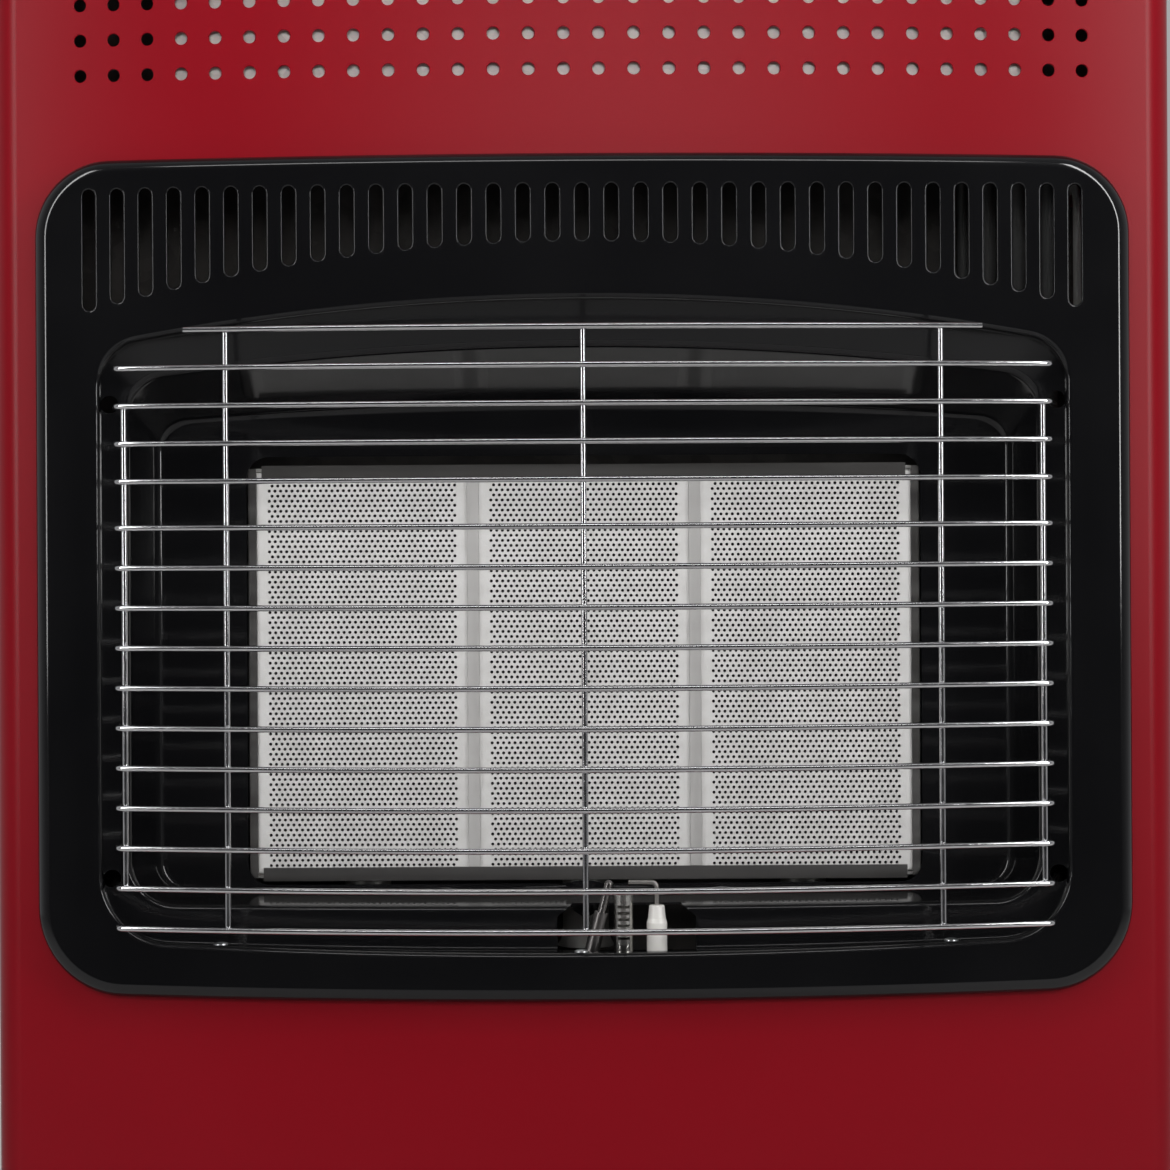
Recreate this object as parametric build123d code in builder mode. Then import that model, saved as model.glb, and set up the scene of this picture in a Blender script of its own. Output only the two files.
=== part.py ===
"""Cabinet gas heater on castors, in millimetres.

The origin is on the floor under the middle of the heater. +Z is up, +X is to the right of someone
facing the heater, and the heater faces -Y. The front panel is bowed about an upright axis, and so
are the surround and the wire guard that stand on it.
"""

import os
from math import asin, cos, degrees, radians, sin, sqrt, tan

from build123d import *

os.makedirs("parts", exist_ok=True)

# ---------------------------------------------------------------- overall sizes
overall_width = 420.0
overall_depth = 430.0
overall_height = 730.0

# ---------------------------------------------------------------- sheet, gaps and fits
sheet = 0.8  # painted cabinet steel
enamel_sheet = 0.8  # enamelled steel of the surround and recess
bracket_sheet = 1.2  # brackets
seat_gap = 0.1  # paint or enamel between two pieces that are bolted together
pressed_gap = 0.3  # between two large pressed sheets
body_gap = 0.3  # between two pieces that move apart
running_clearance = 0.05  # radial, shaft in bore
bolt_clearance = 0.2  # radial, screw in a plain hole

# ---------------------------------------------------------------- cabinet
castor_height = 58.0
deck_height = 30.0
hump_depth = 25.0
deck_rear_overhang = 2.0
panel_bow_radius = 1000.0
corner_radius = 12.0
panel_flange = 30.0
side_rear_flange = 14.0
tray_sheet = 1.0
tray_flange_height = 22.0
tray_slot_spacing = 148.0
tray_slot_pitch = 52.0
tray_slot_columns = 2
tray_slot_rows = 4
rail_height = 83.0
rail_lip = 10.0
deck_wall = 2.5
deck_edge_radius = 6.0

# ---------------------------------------------------------------- vent rows above the surround
vent_hole_radius = 2.25
vent_pitch = 12.3
vent_row_pitch = 12.5
vent_side_margin = 30.0
vent_rows = 4
vent_lowest_drop = 44.0  # lowest row below the deck
deflector_width = 306.0
deflector_offset = 6.5
deflector_behind = 4.0
deflector_drop = 52.0

# ---------------------------------------------------------------- surround
surround_side_margin = 16.5
surround_drop = 74.0  # top edge below the deck
surround_low_sag = 1.5
surround_high_sag = 0.6
surround_low_radius = 31.0
surround_high_radius = 27.0
surround_stand = 9.0  # height of the face in front of the panel
surround_rim_radius = 5.0
surround_face_width = 23.5
lip_radius = 2.2
lip_depth = 5.0
window_overlap = 6.0
lip_screw_margin = 42.0
lip_screw_offset = -1.6
lip_screw_back = 3.7
slot_side_margin = 15.0
slot_pitch = 10.25
slot_width = 4.4
slot_top_drop = 11.0  # slot tops below the surround's top edge
slot_centre_length = 19.7
slot_arc_radius = 676.0

# ---------------------------------------------------------------- recess behind the surround
opening_rise = 17.5  # lower edge above the surround's
opening_drop = 51.0  # upper edge below the surround's
opening_low_sag = 4.0
opening_high_sag = 16.0
opening_low_radius = 24.0
opening_high_radius = 16.0
strip_depth = 12.0  # front of the flat strip behind the panel's foremost line
strip_slope = 3.0
strip_width = 9.0
mouth_rise = 13.8  # lower edge above the opening's
mouth_drop = 15.0
mouth_low_sag = 1.5
mouth_high_sag = 12.0
mouth_low_radius = 16.0
mouth_high_radius = 14.0
back_depth = 45.0
back_inset = 16.0
back_rise = 2.9  # lower edge above the mouth's
back_drop = 20.0
back_low_sag = 0.6
back_high_sag = 6.0
back_low_radius = 10.0
back_high_radius = 12.0

# ---------------------------------------------------------------- wire guard
wire_radius = 1.05
guard_stand = 28.0  # wire centre in front of the panel's foremost line
guard_bow_radius = 675.0
guard_side_margin = 49.5
guard_rise = 9.6  # lowest wire above the opening's lower edge
lower_wire_pitch = 13.9
guard_drop = 10.0  # highest wire below the opening's upper edge, at least
wire_group_gap = 16.1
upper_wire_pitch = 13.1
upper_wire_count = 5
top_wire_inset = 22.5
wire_bend_radius = 2.5
wire_tail = 3.0
leg_splay = 11.0
leg_past_strip = 6.0
leg_hole_radius = 3.1
upright_inset = 36.9
end_upright_inset = 0.7
weld_gap = 0.05

# ---------------------------------------------------------------- burner
plaque_width = 77.0
plaque_height = 145.4
plaque_thickness = 12.5
plaque_clearance = 0.3
gasket_width = 5.0
gasket_thickness = 1.5
box_wall = 1.2
box_gap = 0.4
box_depth = 37.0
box_ledge = 2.6
clamp_sheet = 1.0
clamp_overlap = 2.2
clamp_side_overlap = 0.2
clamp_leg = 8.0
divider_width = 4.2
burner_low_margin = 4.35  # burner boxes above the back wall's lower edge
burner_top_margin = 23.05
cutout_side_margin = 3.2
cutout_low_margin = 2.4
cutout_top_margin = 4.2
cutout_corner = 8.0
throat_radius = 7.0
throat_wall = 1.5
throat_length = 28.0
throat_flare = 2.0
carrier_margin = 13.0
carrier_end_margin = 5.0

# ---------------------------------------------------------------- gas supply
injector_gap = 8.0
injector_radius = 4.0
injector_hex = 13.0
injector_nose = 8.0
injector_taper = 12.0
injector_stub = 12.0
injector_hex_height = 4.5
rail_plate_half = 112.0
rail_plate_depth = 32.0
rail_plate_drop = 18.0
pipe_radius = 3.0
pipe_bore = 2.0
pipe_bend = 12.0
pilot_pipe_radius = 2.0
pilot_pipe_bend = 6.5
pilot_pipe_bore = 1.2
riser_margin = 16.6  # first riser outside the burner carrier
riser_step = 10.0
pipe_low_margin = 4.0  # between the injector's end and the first bend
pipe_low_step = 12.0
outlet_step = 10.0
pilot_outlet_offset = 18.0  # from the tap's axis
outlet_rise = 9.0

# ---------------------------------------------------------------- pilot group
pilot_x = 13.2
pilot_tube_radius = 3.5
pilot_tube_bore = 2.6
pilot_base_drop = 23.3  # foot below the recess mouth's lower edge
pilot_height = 28.5
pilot_pipe_drop = 34.0
pilot_slot_height = 1.0
pilot_slot_width = 4.2
pilot_slot_pitch = 2.2
pilot_slots = 6
pilot_forward = 4.0  # of the group behind the panel's foremost line
pilot_bracket_offset = 3.0
pilot_bracket_depth = 22.0
pilot_tube_floor = 2.0
pilot_slot_drop = 4.0
electrode_x = 24.9
electrode_pin_radius = 0.8
electrode_rise = 7.9  # above the insulator
electrode_reach = 9.9
electrode_bend = 2.0
electrode_foot = 2.0  # inside the insulator
insulator_low_radius = 3.6
insulator_high_radius = 2.65
insulator_low_height = 20.2
insulator_height = 24.9
insulator_step = 0.5
insulator_step_height = 1.5
insulator_edge = 0.6
thermo_x = -0.6
thermo_radius = 1.5
thermo_tip_radius = 1.35
thermo_sleeve_radius = 2.6
thermo_tilt = 14.5
thermo_hole_clearance = 0.5
thermo_length = 36.2
thermo_sleeve_length = 24.6
thermo_lead_margin = 3.1  # lead outside the burner carrier
pilot_riser_margin = 8.6
lead_drop = 24.0
lead_bend = 8.0
lead_last_bend = 4.0
lead_nut_size = 10.0
lead_nut_height = 5.0
thermo_sleeve_start = 3.0
ignition_lead_drop = 16.0
ignition_lead_margin = 48.6
ignition_lead_under = 28.0  # level run below the magnet
window_corner = 6.0
lead_radius = 1.0
ignition_lead_radius = 1.5
pilot_window_half = 24.5
pilot_window_centre = 14.4
pilot_window_drop = 7.3
pilot_window_slant = 7.0
pilot_window_top = 2.0
pilot_window_reach = 5.5
pilot_floor_half = 16.0

# ---------------------------------------------------------------- controls in the deck
dish_margin = 76.0  # dish centre from the side
dish_y = -10.0
dish_length = 116.0
dish_width = 76.0
dish_corner = 14.0
dish_depth = 27.0
dish_wall = 2.5
knob_offset = -26.0
knob_radius = 21.0
knob_height = 20.0
knob_travel = 3.0
knob_wall = 2.0
knob_grip_width = 11.0
knob_grip_height = 11.0
knob_grip_inset = 2.0
knob_grip_sink = 1.0
knob_skirt_taper = 4.0
knob_grip_taper = 3.0
knob_skirt_edge = 1.5
knob_grip_edge = 1.2
knob_lean = 1.0  # of the tapered skirt
knob_socket_radius = 6.0
neck_radius = 7.0
neck_height = 4.0
rotor_radius = 5.5
rotor_rise = 10.5
spindle_radius = 3.0
spindle_flat_depth = 0.6
spindle_clearance = 1.0  # under the pushed spindle
tap_length = 44.0
tap_width = 46.0
tap_height = 30.0
tap_corner = 3.0
tap_edge = 1.5
magnet_radius = 8.0
magnet_length = 22.0
nut_thickness = 2.5
knob_nut_size = 19.0
nozzle_radius = 4.5
nozzle_bore = 3.0
nozzle_length = 32.0
nozzle_barb = 0.6
nozzle_barb_pitch = 5.0
nozzle_barbs = 3
nozzle_plain = 12.0
nozzle_hex = 15.0
nozzle_hex_length = 5.0
nozzle_access_radius = 9.0  # hole in the rear rail, in line with the nozzle
piezo_offset = 30.0
piezo_neck_radius = 9.0
piezo_flange_radius = 12.0
piezo_flange = 2.0
piezo_edge = 0.8
piezo_length = 46.0
piezo_nut_size = 24.0
button_radius = 6.5
button_clearance = 0.1
button_rise = 11.0
button_travel = 6.0
button_well = 22.0
button_play = 1.0  # under the pressed button
button_edge = 1.2
bracket_margin = 4.0
bracket_lip = 8.0

# ---------------------------------------------------------------- hand grips
grip_length = 96.0
grip_height = 28.0
grip_depth = 22.0
grip_wall = 1.6
grip_flange = 7.0
grip_centre_y = 20.0
grip_drop = 96.0  # centre below the deck
grip_fit = 0.3

# ---------------------------------------------------------------- rear cover
cover_side_margin = 6.0
cover_low_margin = 6.0
cover_top_drop = 88.0
hump_half = 130.0
hump_margin = 26.0
hump_slope = 22.0
tab_length = 8.0
tab_height = 14.0
tab_low_rise = 36.0  # lower tabs above the cover's lower edge
tab_high_drop = 52.0  # upper tabs below the cover's upper edge
tab_play = 1.0
louvre_length = 74.0
louvre_height = 4.5
louvre_pitch = 13.0
louvre_rows = 5
louvre_columns = 2
louvre_spacing = 92.0  # between the middles of two columns
screw_radius = 1.9
screw_head_radius = 4.0
screw_head = 2.2
rail_screw_drops = [20.75, 62.25]  # below the deck
lip_screw_head_radius = 2.5
lip_screw_head = 1.0
lip_screw_radius = 1.5
lip_screw_length = 4.0

# ---------------------------------------------------------------- castors
castor_side_margin = 45.0
castor_front_margin = 87.0
castor_rear_margin = 40.0
wheel_radius = 20.0
wheel_width = 17.0
wheel_web = 5.0
wheel_rim = 5.0
wheel_hub_radius = 7.0
wheel_edge = 2.5
wheel_side_gap = 0.5
axle_radius = 3.0
axle_head = 2.0
axle_head_radius = 4.5
castor_trail = 16.0
fork_sheet = 2.0
fork_plate_half = 13.0
fork_gap_above_wheel = 12.5
stem_radius = 4.0
stem_length = 22.0
socket_wall = 2.5
socket_flange_radius = 16.0
socket_flange = 1.5

# ---------------------------------------------------------------- places worked out from the sizes
half_width = overall_width / 2
panel_front = -overall_depth / 2 + guard_stand + wire_radius
cabinet_rear = overall_depth / 2 - hump_depth
hump_rear = overall_depth / 2
deck_low = overall_height - deck_height
cabinet_low = castor_height
tray_top = cabinet_low + tray_sheet
side_outer = half_width - sheet - seat_gap
side_inner = side_outer - sheet
tray_half = side_inner - seat_gap
side_panel_front = panel_front + panel_bow_radius - sqrt(panel_bow_radius**2 - half_width**2)
face_radius = panel_bow_radius + surround_stand
strip_y = panel_front + strip_depth
mouth_y = strip_y + strip_slope
back_y = panel_front + back_depth

# widths of the pressed shapes
surround_half = half_width - surround_side_margin
opening_half = surround_half - surround_face_width
mouth_half = opening_half - strip_width
back_half = opening_half - back_inset

# the burner's own sizes
box_outer_width = plaque_width + 2 * plaque_clearance + 2 * box_wall
box_outer_height = plaque_height + 2 * plaque_clearance + 2 * box_wall
column_pitch = box_outer_width + box_gap
burner_half = column_pitch + plaque_width / 2
box_side = column_pitch + box_outer_width / 2

# heights, from the deck down to the surround's top edge and back up from its bottom edge
surround_high = deck_low - surround_drop
opening_high = surround_high - opening_drop
mouth_high = opening_high - mouth_drop
back_high = mouth_high - back_drop
box_high = back_high - burner_top_margin
box_low = box_high - box_outer_height
plaque_centre_height = (box_low + box_high) / 2
back_low = box_low - burner_low_margin
mouth_low = back_low - back_rise
opening_low = mouth_low - mouth_rise
surround_low = opening_low - opening_rise
slot_top = surround_high - slot_top_drop

# depths of the burner
clamp_y = back_y + enamel_sheet + 2 * seat_gap
plaque_y = clamp_y + clamp_sheet + seat_gap
box_back = plaque_y + box_depth
partition_y = box_back + bracket_sheet + 3 * seat_gap
throat_y = box_back - box_wall - throat_radius - throat_wall - throat_flare
throat_low = box_low - throat_length
injector_tip = throat_low - injector_gap
rail_plate_top = injector_tip - injector_nose - injector_hex_height
stub_low = rail_plate_top - injector_stub
carrier_half = box_side + carrier_margin

# wire guard
guard_half = half_width - guard_side_margin
guard_y = panel_front - guard_stand
guard_lowest_wire = opening_low + guard_rise
upper_block = (upper_wire_count - 1) * upper_wire_pitch
lower_block = opening_high - guard_drop - upper_block - wire_group_gap - guard_lowest_wire
lower_wire_count = 1 + int(lower_block / lower_wire_pitch)
lower_wires = [guard_lowest_wire + row * lower_wire_pitch for row in range(lower_wire_count)]
upper_wires = [lower_wires[-1] + wire_group_gap + row * upper_wire_pitch for row in range(upper_wire_count)]
leg_heights = [lower_wires[1], upper_wires[2]]
upright_spacing = guard_half - upright_inset
end_upright_x = guard_half - end_upright_inset
top_wire_half = guard_half - top_wire_inset

# controls
dish_x = half_width - dish_margin
knob_x = dish_x + knob_offset
piezo_x = dish_x + piezo_offset
dish_floor = overall_height - dish_depth
dish_under = dish_floor - dish_wall
bracket_top = dish_under - seat_gap
tap_top = bracket_top - bracket_sheet - seat_gap
tap_low = tap_top - tap_height
outlet_height = tap_low + outlet_rise
nozzle_z = tap_low + tap_height / 2
magnet_low = tap_low - magnet_length
tap_front = dish_y - tap_length / 2
tap_rear = dish_y + tap_length / 2
neck_top = dish_floor + nut_thickness + neck_height
knob_low = dish_floor + knob_travel + body_gap
piezo_low = dish_floor - piezo_length
spindle_flat = spindle_radius - spindle_flat_depth

# pilot group and its leads
pilot_y = panel_front + pilot_forward
pilot_base = mouth_low - pilot_base_drop
pilot_top = pilot_base + pilot_height
insulator_shoulder = pilot_base + insulator_low_height
insulator_top = pilot_base + insulator_height
electrode_top = insulator_top + electrode_rise
thermo_lead_x = carrier_half + thermo_lead_margin
pilot_riser_x = carrier_half + pilot_riser_margin
riser_first = carrier_half + riser_margin
ignition_lead_x = carrier_half + ignition_lead_margin
ignition_lead_z = magnet_low - ignition_lead_under

# hand grips, rear cover and castors
grip_centre_z = deck_low - grip_drop
cover_half = half_width - cover_side_margin
cover_low = cabinet_low + cover_low_margin
cover_high = deck_low - cover_top_drop
cover_y = cabinet_rear + body_gap
castor_x = half_width - castor_side_margin
castor_front_y = -overall_depth / 2 + castor_front_margin
castor_rear_y = cabinet_rear - castor_rear_margin
column_names = {-1: "left", 0: "centre", 1: "right"}
side_names = {-1: "left", 1: "right"}
castor_places = {
    "front_left": (-castor_x, castor_front_y),
    "front_right": (castor_x, castor_front_y),
    "rear_left": (-castor_x, castor_rear_y),
    "rear_right": (castor_x, castor_rear_y),
}


def front_plane(y):
    """Upright plane at y that faces forward: its x is +X and its y is +Z."""
    return Plane.XZ.offset(-y)


def bow_y(x, foremost, radius):
    """Y of a bowed surface at x, for a bow whose foremost line is at foremost."""
    return foremost + radius - sqrt(radius**2 - x**2)


def bow_plane(along, foremost, radius):
    """Plane square to a bowed surface, at a distance along the bow from its middle."""
    turn = along / radius
    return Plane(
        origin=(radius * sin(turn), foremost + radius - radius * cos(turn), 0),
        x_dir=(cos(turn), sin(turn), 0),
        z_dir=(sin(turn), -cos(turn), 0),
    )


def bow_cylinder(radius):
    """Upright cylinder about the axis that the panel is bowed about."""
    return Location((0, panel_front + panel_bow_radius, overall_height / 2)) * Cylinder(
        radius, 2 * overall_height, mode=Mode.PRIVATE
    )


def cabinet_outline(inset, rear):
    """Plan of the cabinet, drawn in by inset on the front and sides."""
    half = half_width - inset
    foremost = panel_front + inset
    shoulder = bow_y(half, foremost, panel_bow_radius - inset)
    with BuildSketch() as outline:
        with BuildLine():
            ThreePointArc((-half, shoulder), (0, foremost), (half, shoulder))
            Polyline((half, shoulder), (half, rear), (-half, rear), (-half, shoulder))
        make_face()
        fillet(outline.vertices().group_by(Axis.Y)[0], corner_radius - inset)
    return outline.sketch


def pressed_outline(half, low, high, low_sag, high_sag, low_radius, high_radius, grow=0.0):
    """Front view of a pressed shape with upright sides and arched top and bottom edges."""
    half = half + grow
    low = low - grow
    high = high + grow
    with BuildSketch() as outline:
        with BuildLine():
            ThreePointArc((-half, low + low_sag), (0, low), (half, low + low_sag))
            Line((half, low + low_sag), (half, high - high_sag))
            ThreePointArc((half, high - high_sag), (0, high), (-half, high - high_sag))
            Line((-half, high - high_sag), (-half, low + low_sag))
        make_face()
        corners = outline.vertices().group_by(Axis.Y)
        fillet(corners[-1], high_radius + grow)
        fillet(outline.vertices().sort_by(Axis.Y)[:2], low_radius + grow)
    return outline.sketch


def surround_outline(grow):
    """Outer edge of the surround."""
    return pressed_outline(
        surround_half,
        surround_low,
        surround_high,
        surround_low_sag,
        surround_high_sag,
        surround_low_radius,
        surround_high_radius,
        grow,
    )


def opening_outline(grow):
    """Opening in the surround."""
    return pressed_outline(
        opening_half,
        opening_low,
        opening_high,
        opening_low_sag,
        opening_high_sag,
        opening_low_radius,
        opening_high_radius,
        grow,
    )


def mouth_outline(grow):
    """Edge where the flat strip turns back into the recess."""
    return pressed_outline(
        mouth_half,
        mouth_low,
        mouth_high,
        mouth_low_sag,
        mouth_high_sag,
        mouth_low_radius,
        mouth_high_radius,
        grow,
    )


def back_outline(grow):
    """Back wall of the recess."""
    return pressed_outline(
        back_half,
        back_low,
        back_high,
        back_low_sag,
        back_high_sag,
        back_low_radius,
        back_high_radius,
        grow,
    )


def pipe(points, bend, radius, bore=0.0):
    """Round pipe or lead along straight runs joined by bends."""
    with BuildPart() as made:
        with BuildLine() as route:
            FilletPolyline(*points, radius=bend)
        with BuildSketch(Plane(route.line @ 0, z_dir=route.line % 0)):
            Circle(radius)
            if bore:
                Circle(bore, mode=Mode.SUBTRACT)
        sweep()
    return made.part


# ================================================================ cabinet sheets
with BuildPart() as front_panel:
    with BuildSketch(Plane.XY.offset(cabinet_low)):
        add(cabinet_outline(0, side_panel_front + panel_flange))
        add(cabinet_outline(sheet, side_panel_front + 2 * panel_flange), mode=Mode.SUBTRACT)
    extrude(amount=deck_low - cabinet_low)
    with BuildSketch(front_plane(panel_front + 2 * panel_flange)):
        add(surround_outline(-window_overlap))
    extrude(amount=3 * panel_flange, mode=Mode.SUBTRACT)
    vent_columns = 2 * int((half_width - vent_side_margin) / vent_pitch + 0.5)
    vent_middle = (vent_columns - 1) / 2
    vent_planes = [
        bow_plane((column - vent_middle) * vent_pitch, panel_front, panel_bow_radius)
        for column in range(vent_columns)
    ]
    vent_heights = [deck_low - vent_lowest_drop + row * vent_row_pitch for row in range(vent_rows)]
    with BuildSketch(*vent_planes):
        with Locations(*[(0, height) for height in vent_heights]):
            Circle(vent_hole_radius)
    extrude(amount=2 * sheet, both=True, mode=Mode.SUBTRACT)
front_panel.part.label = "front_panel"
export_step(front_panel.part, "parts/front_panel.step")

tab_places = [cover_low + tab_low_rise, cover_high - tab_high_drop]


def rail_screw_places(side):
    """Places of the rear rail's screws on one side, in the heater's rear view plane."""
    return [(side * (cover_half - tab_length), deck_low - drop) for drop in rail_screw_drops]


for side, side_name in side_names.items():
    with BuildPart() as side_panel:
        with BuildSketch(Plane.XY.offset(cabinet_low)):
            with BuildLine():
                Polyline(
                    (side * side_outer, side_panel_front + corner_radius + seat_gap),
                    (side * side_outer, cabinet_rear),
                    (side * (side_outer - side_rear_flange), cabinet_rear),
                    (side * (side_outer - side_rear_flange), cabinet_rear - sheet),
                    (side * side_inner, cabinet_rear - sheet),
                    (side * side_inner, side_panel_front + corner_radius + seat_gap),
                    close=True,
                )
            make_face()
        extrude(amount=deck_low - cabinet_low)
        with BuildSketch(Plane.YZ.offset(side * side_outer)):
            with Locations((grip_centre_y, grip_centre_z)):
                RectangleRounded(
                    grip_length + 2 * grip_wall + 2 * grip_fit,
                    grip_height + 2 * grip_wall + 2 * grip_fit,
                    grip_height / 4,
                )
        extrude(amount=2 * sheet, both=True, mode=Mode.SUBTRACT)
        with BuildSketch(front_plane(cabinet_rear)):
            with Locations(*[(side * (cover_half - tab_length), z) for z in tab_places]):
                Rectangle(sheet + 2 * body_gap + tab_play, tab_height + 2 * body_gap + tab_play)
            with Locations(*rail_screw_places(side)):
                Circle(screw_radius + bolt_clearance)
        extrude(amount=2 * sheet, both=True, mode=Mode.SUBTRACT)
    side_panel.part.label = f"side_panel_{side_name}"
    export_step(side_panel.part, f"parts/side_panel_{side_name}.step")

tray_inset = half_width - tray_half
tray_rear = cabinet_rear - sheet - seat_gap
with BuildPart() as base_tray:
    with BuildSketch(Plane.XY.offset(cabinet_low)):
        add(cabinet_outline(tray_inset, tray_rear))
    extrude(amount=tray_flange_height)
    with BuildSketch(Plane.XY.offset(tray_top)):
        add(cabinet_outline(tray_inset + tray_sheet, tray_rear + tray_sheet))
    extrude(amount=tray_flange_height, mode=Mode.SUBTRACT)
    with BuildSketch(Plane.XY.offset(cabinet_low)):
        with Locations(*castor_places.values()):
            Circle(stem_radius + running_clearance + socket_wall + bolt_clearance)
        with GridLocations(tray_slot_spacing, tray_slot_pitch, tray_slot_columns, tray_slot_rows):
            SlotOverall(louvre_length, louvre_height)
    extrude(amount=2 * tray_sheet, both=True, mode=Mode.SUBTRACT)
    # the rear edge is a bar of its own, welded across between the side flanges
    with BuildSketch(Plane.XY.offset(tray_top + weld_gap)):
        with Locations((0, tray_rear - tray_sheet / 2)):
            Rectangle(2 * (tray_half - tray_sheet - weld_gap), tray_sheet)
    extrude(amount=tray_flange_height - tray_sheet - weld_gap)
base_tray.part.label = "base_tray"
export_step(base_tray.part, "parts/base_tray.step")

rail_y = cabinet_rear + seat_gap
with BuildPart() as rear_rail:
    with BuildSketch(front_plane(rail_y)):
        with Locations((0, deck_low - seat_gap - rail_height / 2)):
            Rectangle(2 * cover_half, rail_height)
    extrude(amount=-sheet)
    with BuildSketch(Plane.XY.offset(deck_low - seat_gap - rail_height)):
        with Locations((0, rail_y - rail_lip / 2 + sheet / 2)):
            Rectangle(2 * (side_outer - side_rear_flange) - 2 * seat_gap, rail_lip + sheet)
    extrude(amount=sheet)
    with BuildSketch(front_plane(rail_y)):
        for side in side_names:
            with Locations(*rail_screw_places(side)):
                Circle(screw_radius + bolt_clearance)
        with Locations((knob_x, nozzle_z)):
            Circle(nozzle_access_radius)
    extrude(amount=2 * sheet, both=True, mode=Mode.SUBTRACT)
rear_rail.part.label = "rear_rail"
export_step(rear_rail.part, "parts/rear_rail.step")

partition_half = tray_half - tray_sheet - seat_gap
partition_top = deck_low - sheet - 3 * seat_gap
window_middle = knob_x + pilot_outlet_offset - 1.5 * outlet_step
with BuildPart() as partition:
    with BuildSketch(Plane.XY.offset(tray_top + seat_gap)):
        with BuildLine():
            Polyline(
                (-partition_half, partition_y - panel_flange / 2),
                (-partition_half, partition_y + sheet),
                (partition_half, partition_y + sheet),
                (partition_half, partition_y - panel_flange / 2),
                (partition_half - sheet, partition_y - panel_flange / 2),
                (partition_half - sheet, partition_y),
                (-partition_half + sheet, partition_y),
                (-partition_half + sheet, partition_y - panel_flange / 2),
                close=True,
            )
        make_face()
    extrude(amount=partition_top - tray_top - seat_gap)
    with BuildSketch(front_plane(partition_y)):
        with Locations((window_middle, outlet_height)):
            RectangleRounded(3 * outlet_step + 6 * pipe_radius, 6 * pipe_radius, window_corner)
        with Locations(
            (thermo_lead_x, magnet_low - riser_step),
            (ignition_lead_x, ignition_lead_z),
        ):
            Circle(4 * ignition_lead_radius)
    extrude(amount=2 * sheet, both=True, mode=Mode.SUBTRACT)
partition.part.label = "partition"
export_step(partition.part, "parts/partition.step")

deflector_inset = sheet + deflector_behind
with BuildPart() as vent_deflector:
    with BuildSketch(Plane.XY.offset(deck_low - deflector_drop)):
        add(cabinet_outline(deflector_inset, partition_y))
        add(cabinet_outline(deflector_inset + sheet, partition_y + sheet), mode=Mode.SUBTRACT)
    extrude(amount=deflector_drop - seat_gap)
    with BuildSketch(Plane.XY.offset(deck_low - seat_gap - sheet)):
        add(cabinet_outline(deflector_inset, partition_y + panel_flange / 2))
    extrude(amount=sheet)
    with BuildSketch(Plane.XY.offset(deck_low - deflector_drop)):
        with Locations((deflector_offset, 0)):
            Rectangle(deflector_width, overall_depth)
    extrude(amount=deflector_drop, mode=Mode.INTERSECT)
vent_deflector.part.label = "vent_deflector"
export_step(vent_deflector.part, "parts/vent_deflector.step")

# ================================================================ surround


def surround_form(inset):
    """The surround's outside as a block, drawn in by inset on every face but its back."""
    with BuildPart() as form:
        with BuildSketch(front_plane(side_panel_front + panel_flange)):
            add(surround_outline(-inset))
            add(opening_outline(inset), mode=Mode.SUBTRACT)
        extrude(amount=2 * panel_flange + guard_stand)
        add(bow_cylinder(face_radius - inset), mode=Mode.INTERSECT)
        face = form.faces().filter_by(GeomType.CYLINDER).sort_by(SortBy.AREA)[-1]
        fillet(face.outer_wire().edges(), surround_rim_radius - inset)
        face = form.faces().filter_by(GeomType.CYLINDER).sort_by(SortBy.AREA)[-1]
        fillet(face.inner_wires()[0].edges(), lip_radius - inset)
    return form.part


with BuildPart() as lip_room:
    with BuildSketch(front_plane(side_panel_front + panel_flange)):
        add(opening_outline(2 * enamel_sheet))
        add(opening_outline(-enamel_sheet), mode=Mode.SUBTRACT)
    extrude(amount=2 * panel_flange + guard_stand)
    add(bow_cylinder(face_radius - enamel_sheet - lip_depth), mode=Mode.INTERSECT)

lip_screw_side = opening_half - lip_screw_margin
lip_screws = [
    (x, bow_y(x, panel_front - surround_stand, face_radius) + lip_screw_back)
    for x in (-lip_screw_side, lip_screw_offset, lip_screw_side)
]
with BuildPart() as surround:
    add(surround_form(0))
    add(surround_form(enamel_sheet), mode=Mode.SUBTRACT)
    add(bow_cylinder(panel_bow_radius + pressed_gap), mode=Mode.SUBTRACT)
    add(lip_room.part, mode=Mode.SUBTRACT)
    slot_last = int((surround_half - slot_side_margin) / slot_pitch)
    for index in range(-slot_last, slot_last + 1):
        along = index * slot_pitch
        drop = slot_arc_radius - sqrt(slot_arc_radius**2 - along**2)
        slot_low = slot_top - slot_centre_length - drop
        with BuildSketch(bow_plane(along, panel_front - surround_stand, face_radius)):
            with Locations((0, (slot_top + slot_low) / 2)):
                SlotOverall(slot_top - slot_low, slot_width, rotation=90)
    extrude(amount=2 * enamel_sheet, both=True, mode=Mode.SUBTRACT)
    with BuildSketch(Plane.XY.offset(opening_low)):
        with Locations(*lip_screws):
            Circle(screw_radius)
    extrude(amount=2 * opening_low_sag, both=True, mode=Mode.SUBTRACT)
surround.part.label = "surround"
export_step(surround.part, "parts/surround.step")

# ================================================================ recess liner
liner_play = enamel_sheet + pressed_gap


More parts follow.
